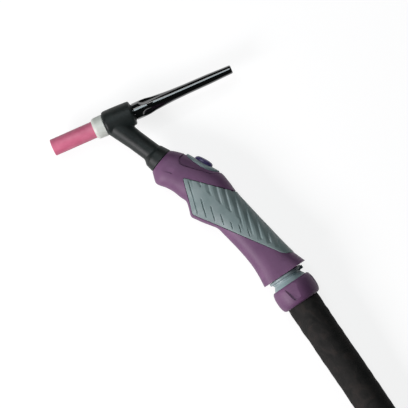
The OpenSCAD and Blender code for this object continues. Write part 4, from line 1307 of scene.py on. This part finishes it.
bm = bmesh.new()
for degrees, inner, outer in ((60, 54.6, 104.8), (-30, 56.1, 103.2)):
    loop = strap_loop(inner, outer)
    turn = moved(COIL_X, COIL_Y, 0) @ spun(degrees, "Z")
    rings = []
    for i, p in enumerate(loop):
        ahead = (loop[(i + 1) % len(loop)] - loop[i - 1]).normalized()
        out = Vector((ahead.z, 0, -ahead.x))
        ring = [turn @ (p + out * h + Vector((0, w, 0))) for w, h in strap_section]
        rings.append([bm.verts.new(spot) for spot in ring])
    for a, b in zip(rings, rings[1:] + rings[:1]):
        for k in range(8):
            bm.faces.new((a[k], a[(k + 1) % 8], b[(k + 1) % 8], b[k]))
dress(as_object("coil_tapes", bm, MM, strap_cloth), "torch", "strap", "coil_straps")

# %% [markdown]
# ## The lead's length
# The sleeve and the power cable together, printed in metres.

# %% Length of the lead
print("Lead in metres:", round((length_of(sleeve_path) + length_of(cable_line)) / 1000, 2))

# %% [markdown]
# ## Floor and light
# A pale floor and a large soft lamp low on one side show the handle's rounded form. The floor adds
# a little light of its own to what the camera, gloss and glass see, which makes it white and still
# leaves the object's shadow on it.

# %% Floor, lamps and world
FLOOR_GLOW = 0.83
bm = bmesh.new()
bmesh.ops.create_grid(bm, x_segments=1, y_segments=1, size=6)
floor = as_object("floor", bm, Matrix())
paper, tree, shader = new_material("paper_floor", "848484", Roughness=0.9)
rays = add(tree, "LightPath").outputs
seen = add(tree, "Math", {0: rays["Is Camera Ray"], 1: rays["Is Glossy Ray"]}, operation="MAXIMUM")
seen = add(tree, "Math", {0: seen.outputs[0], 1: rays["Is Transmission Ray"]}, operation="MAXIMUM")
lift = add(tree, "Math", {0: seen.outputs[0], 1: FLOOR_GLOW}, operation="MULTIPLY")
glow = add(tree, "Emission", {"Strength": lift.outputs[0]})
both = add(tree, "AddShader", {0: shader.outputs[0], 1: glow.outputs[0]})
tree.links.new(both.outputs[0], tree.nodes["Material Output"].inputs["Surface"])
floor.data.materials.append(paper)

world = bpy.data.worlds.new("studio")
scene.world = world
world.use_nodes = True
tree = world.node_tree
rays = add(tree, "LightPath").outputs
level = add(tree, "MapRange", {"Value": rays["Is Camera Ray"], "To Min": 0.02, "To Max": 1.0})
tree.links.new(level.outputs["Result"], tree.nodes["Background"].inputs["Strength"])
tree.nodes["Background"].inputs["Color"].default_value = (1, 1, 1, 1)


def lamp(name, place, width, depth, watts, colour=(1, 1, 1)):
    """A soft rectangular lamp that looks at the torch."""
    made = bpy.data.objects.new(name, bpy.data.lights.new(name, "AREA"))
    made.data.shape, made.data.color = "RECTANGLE", colour
    made.data.size, made.data.size_y, made.data.energy = width, depth, watts
    aim = (target - Vector(place)).to_track_quat("-Z", "Y").to_matrix().to_4x4()
    made.matrix_world = moved(*place) @ aim
    scene.collection.objects.link(made)
    return made


lamp("key", (-0.15, -1.16, 0.8), 0.8, 0.55, 19.5, (1.0, 0.965, 0.985))
strip = lamp("strip", (-0.62, 0.52, 1.06), 1.3, 0.18, 3.1)
strip.matrix_world = strip.matrix_world @ spun(13.5, "Z")      # in line with the back cap's streak
lamp("top", (-0.52, 0.13, 1.45), 0.5, 0.5, 3.4, (0.82, 0.95, 1.0))
lamp("fill", (0.95, 0.45, 0.9), 0.7, 0.7, 0.2, (0.66, 0.97, 1.0))
scene.view_settings.view_transform = "Standard"
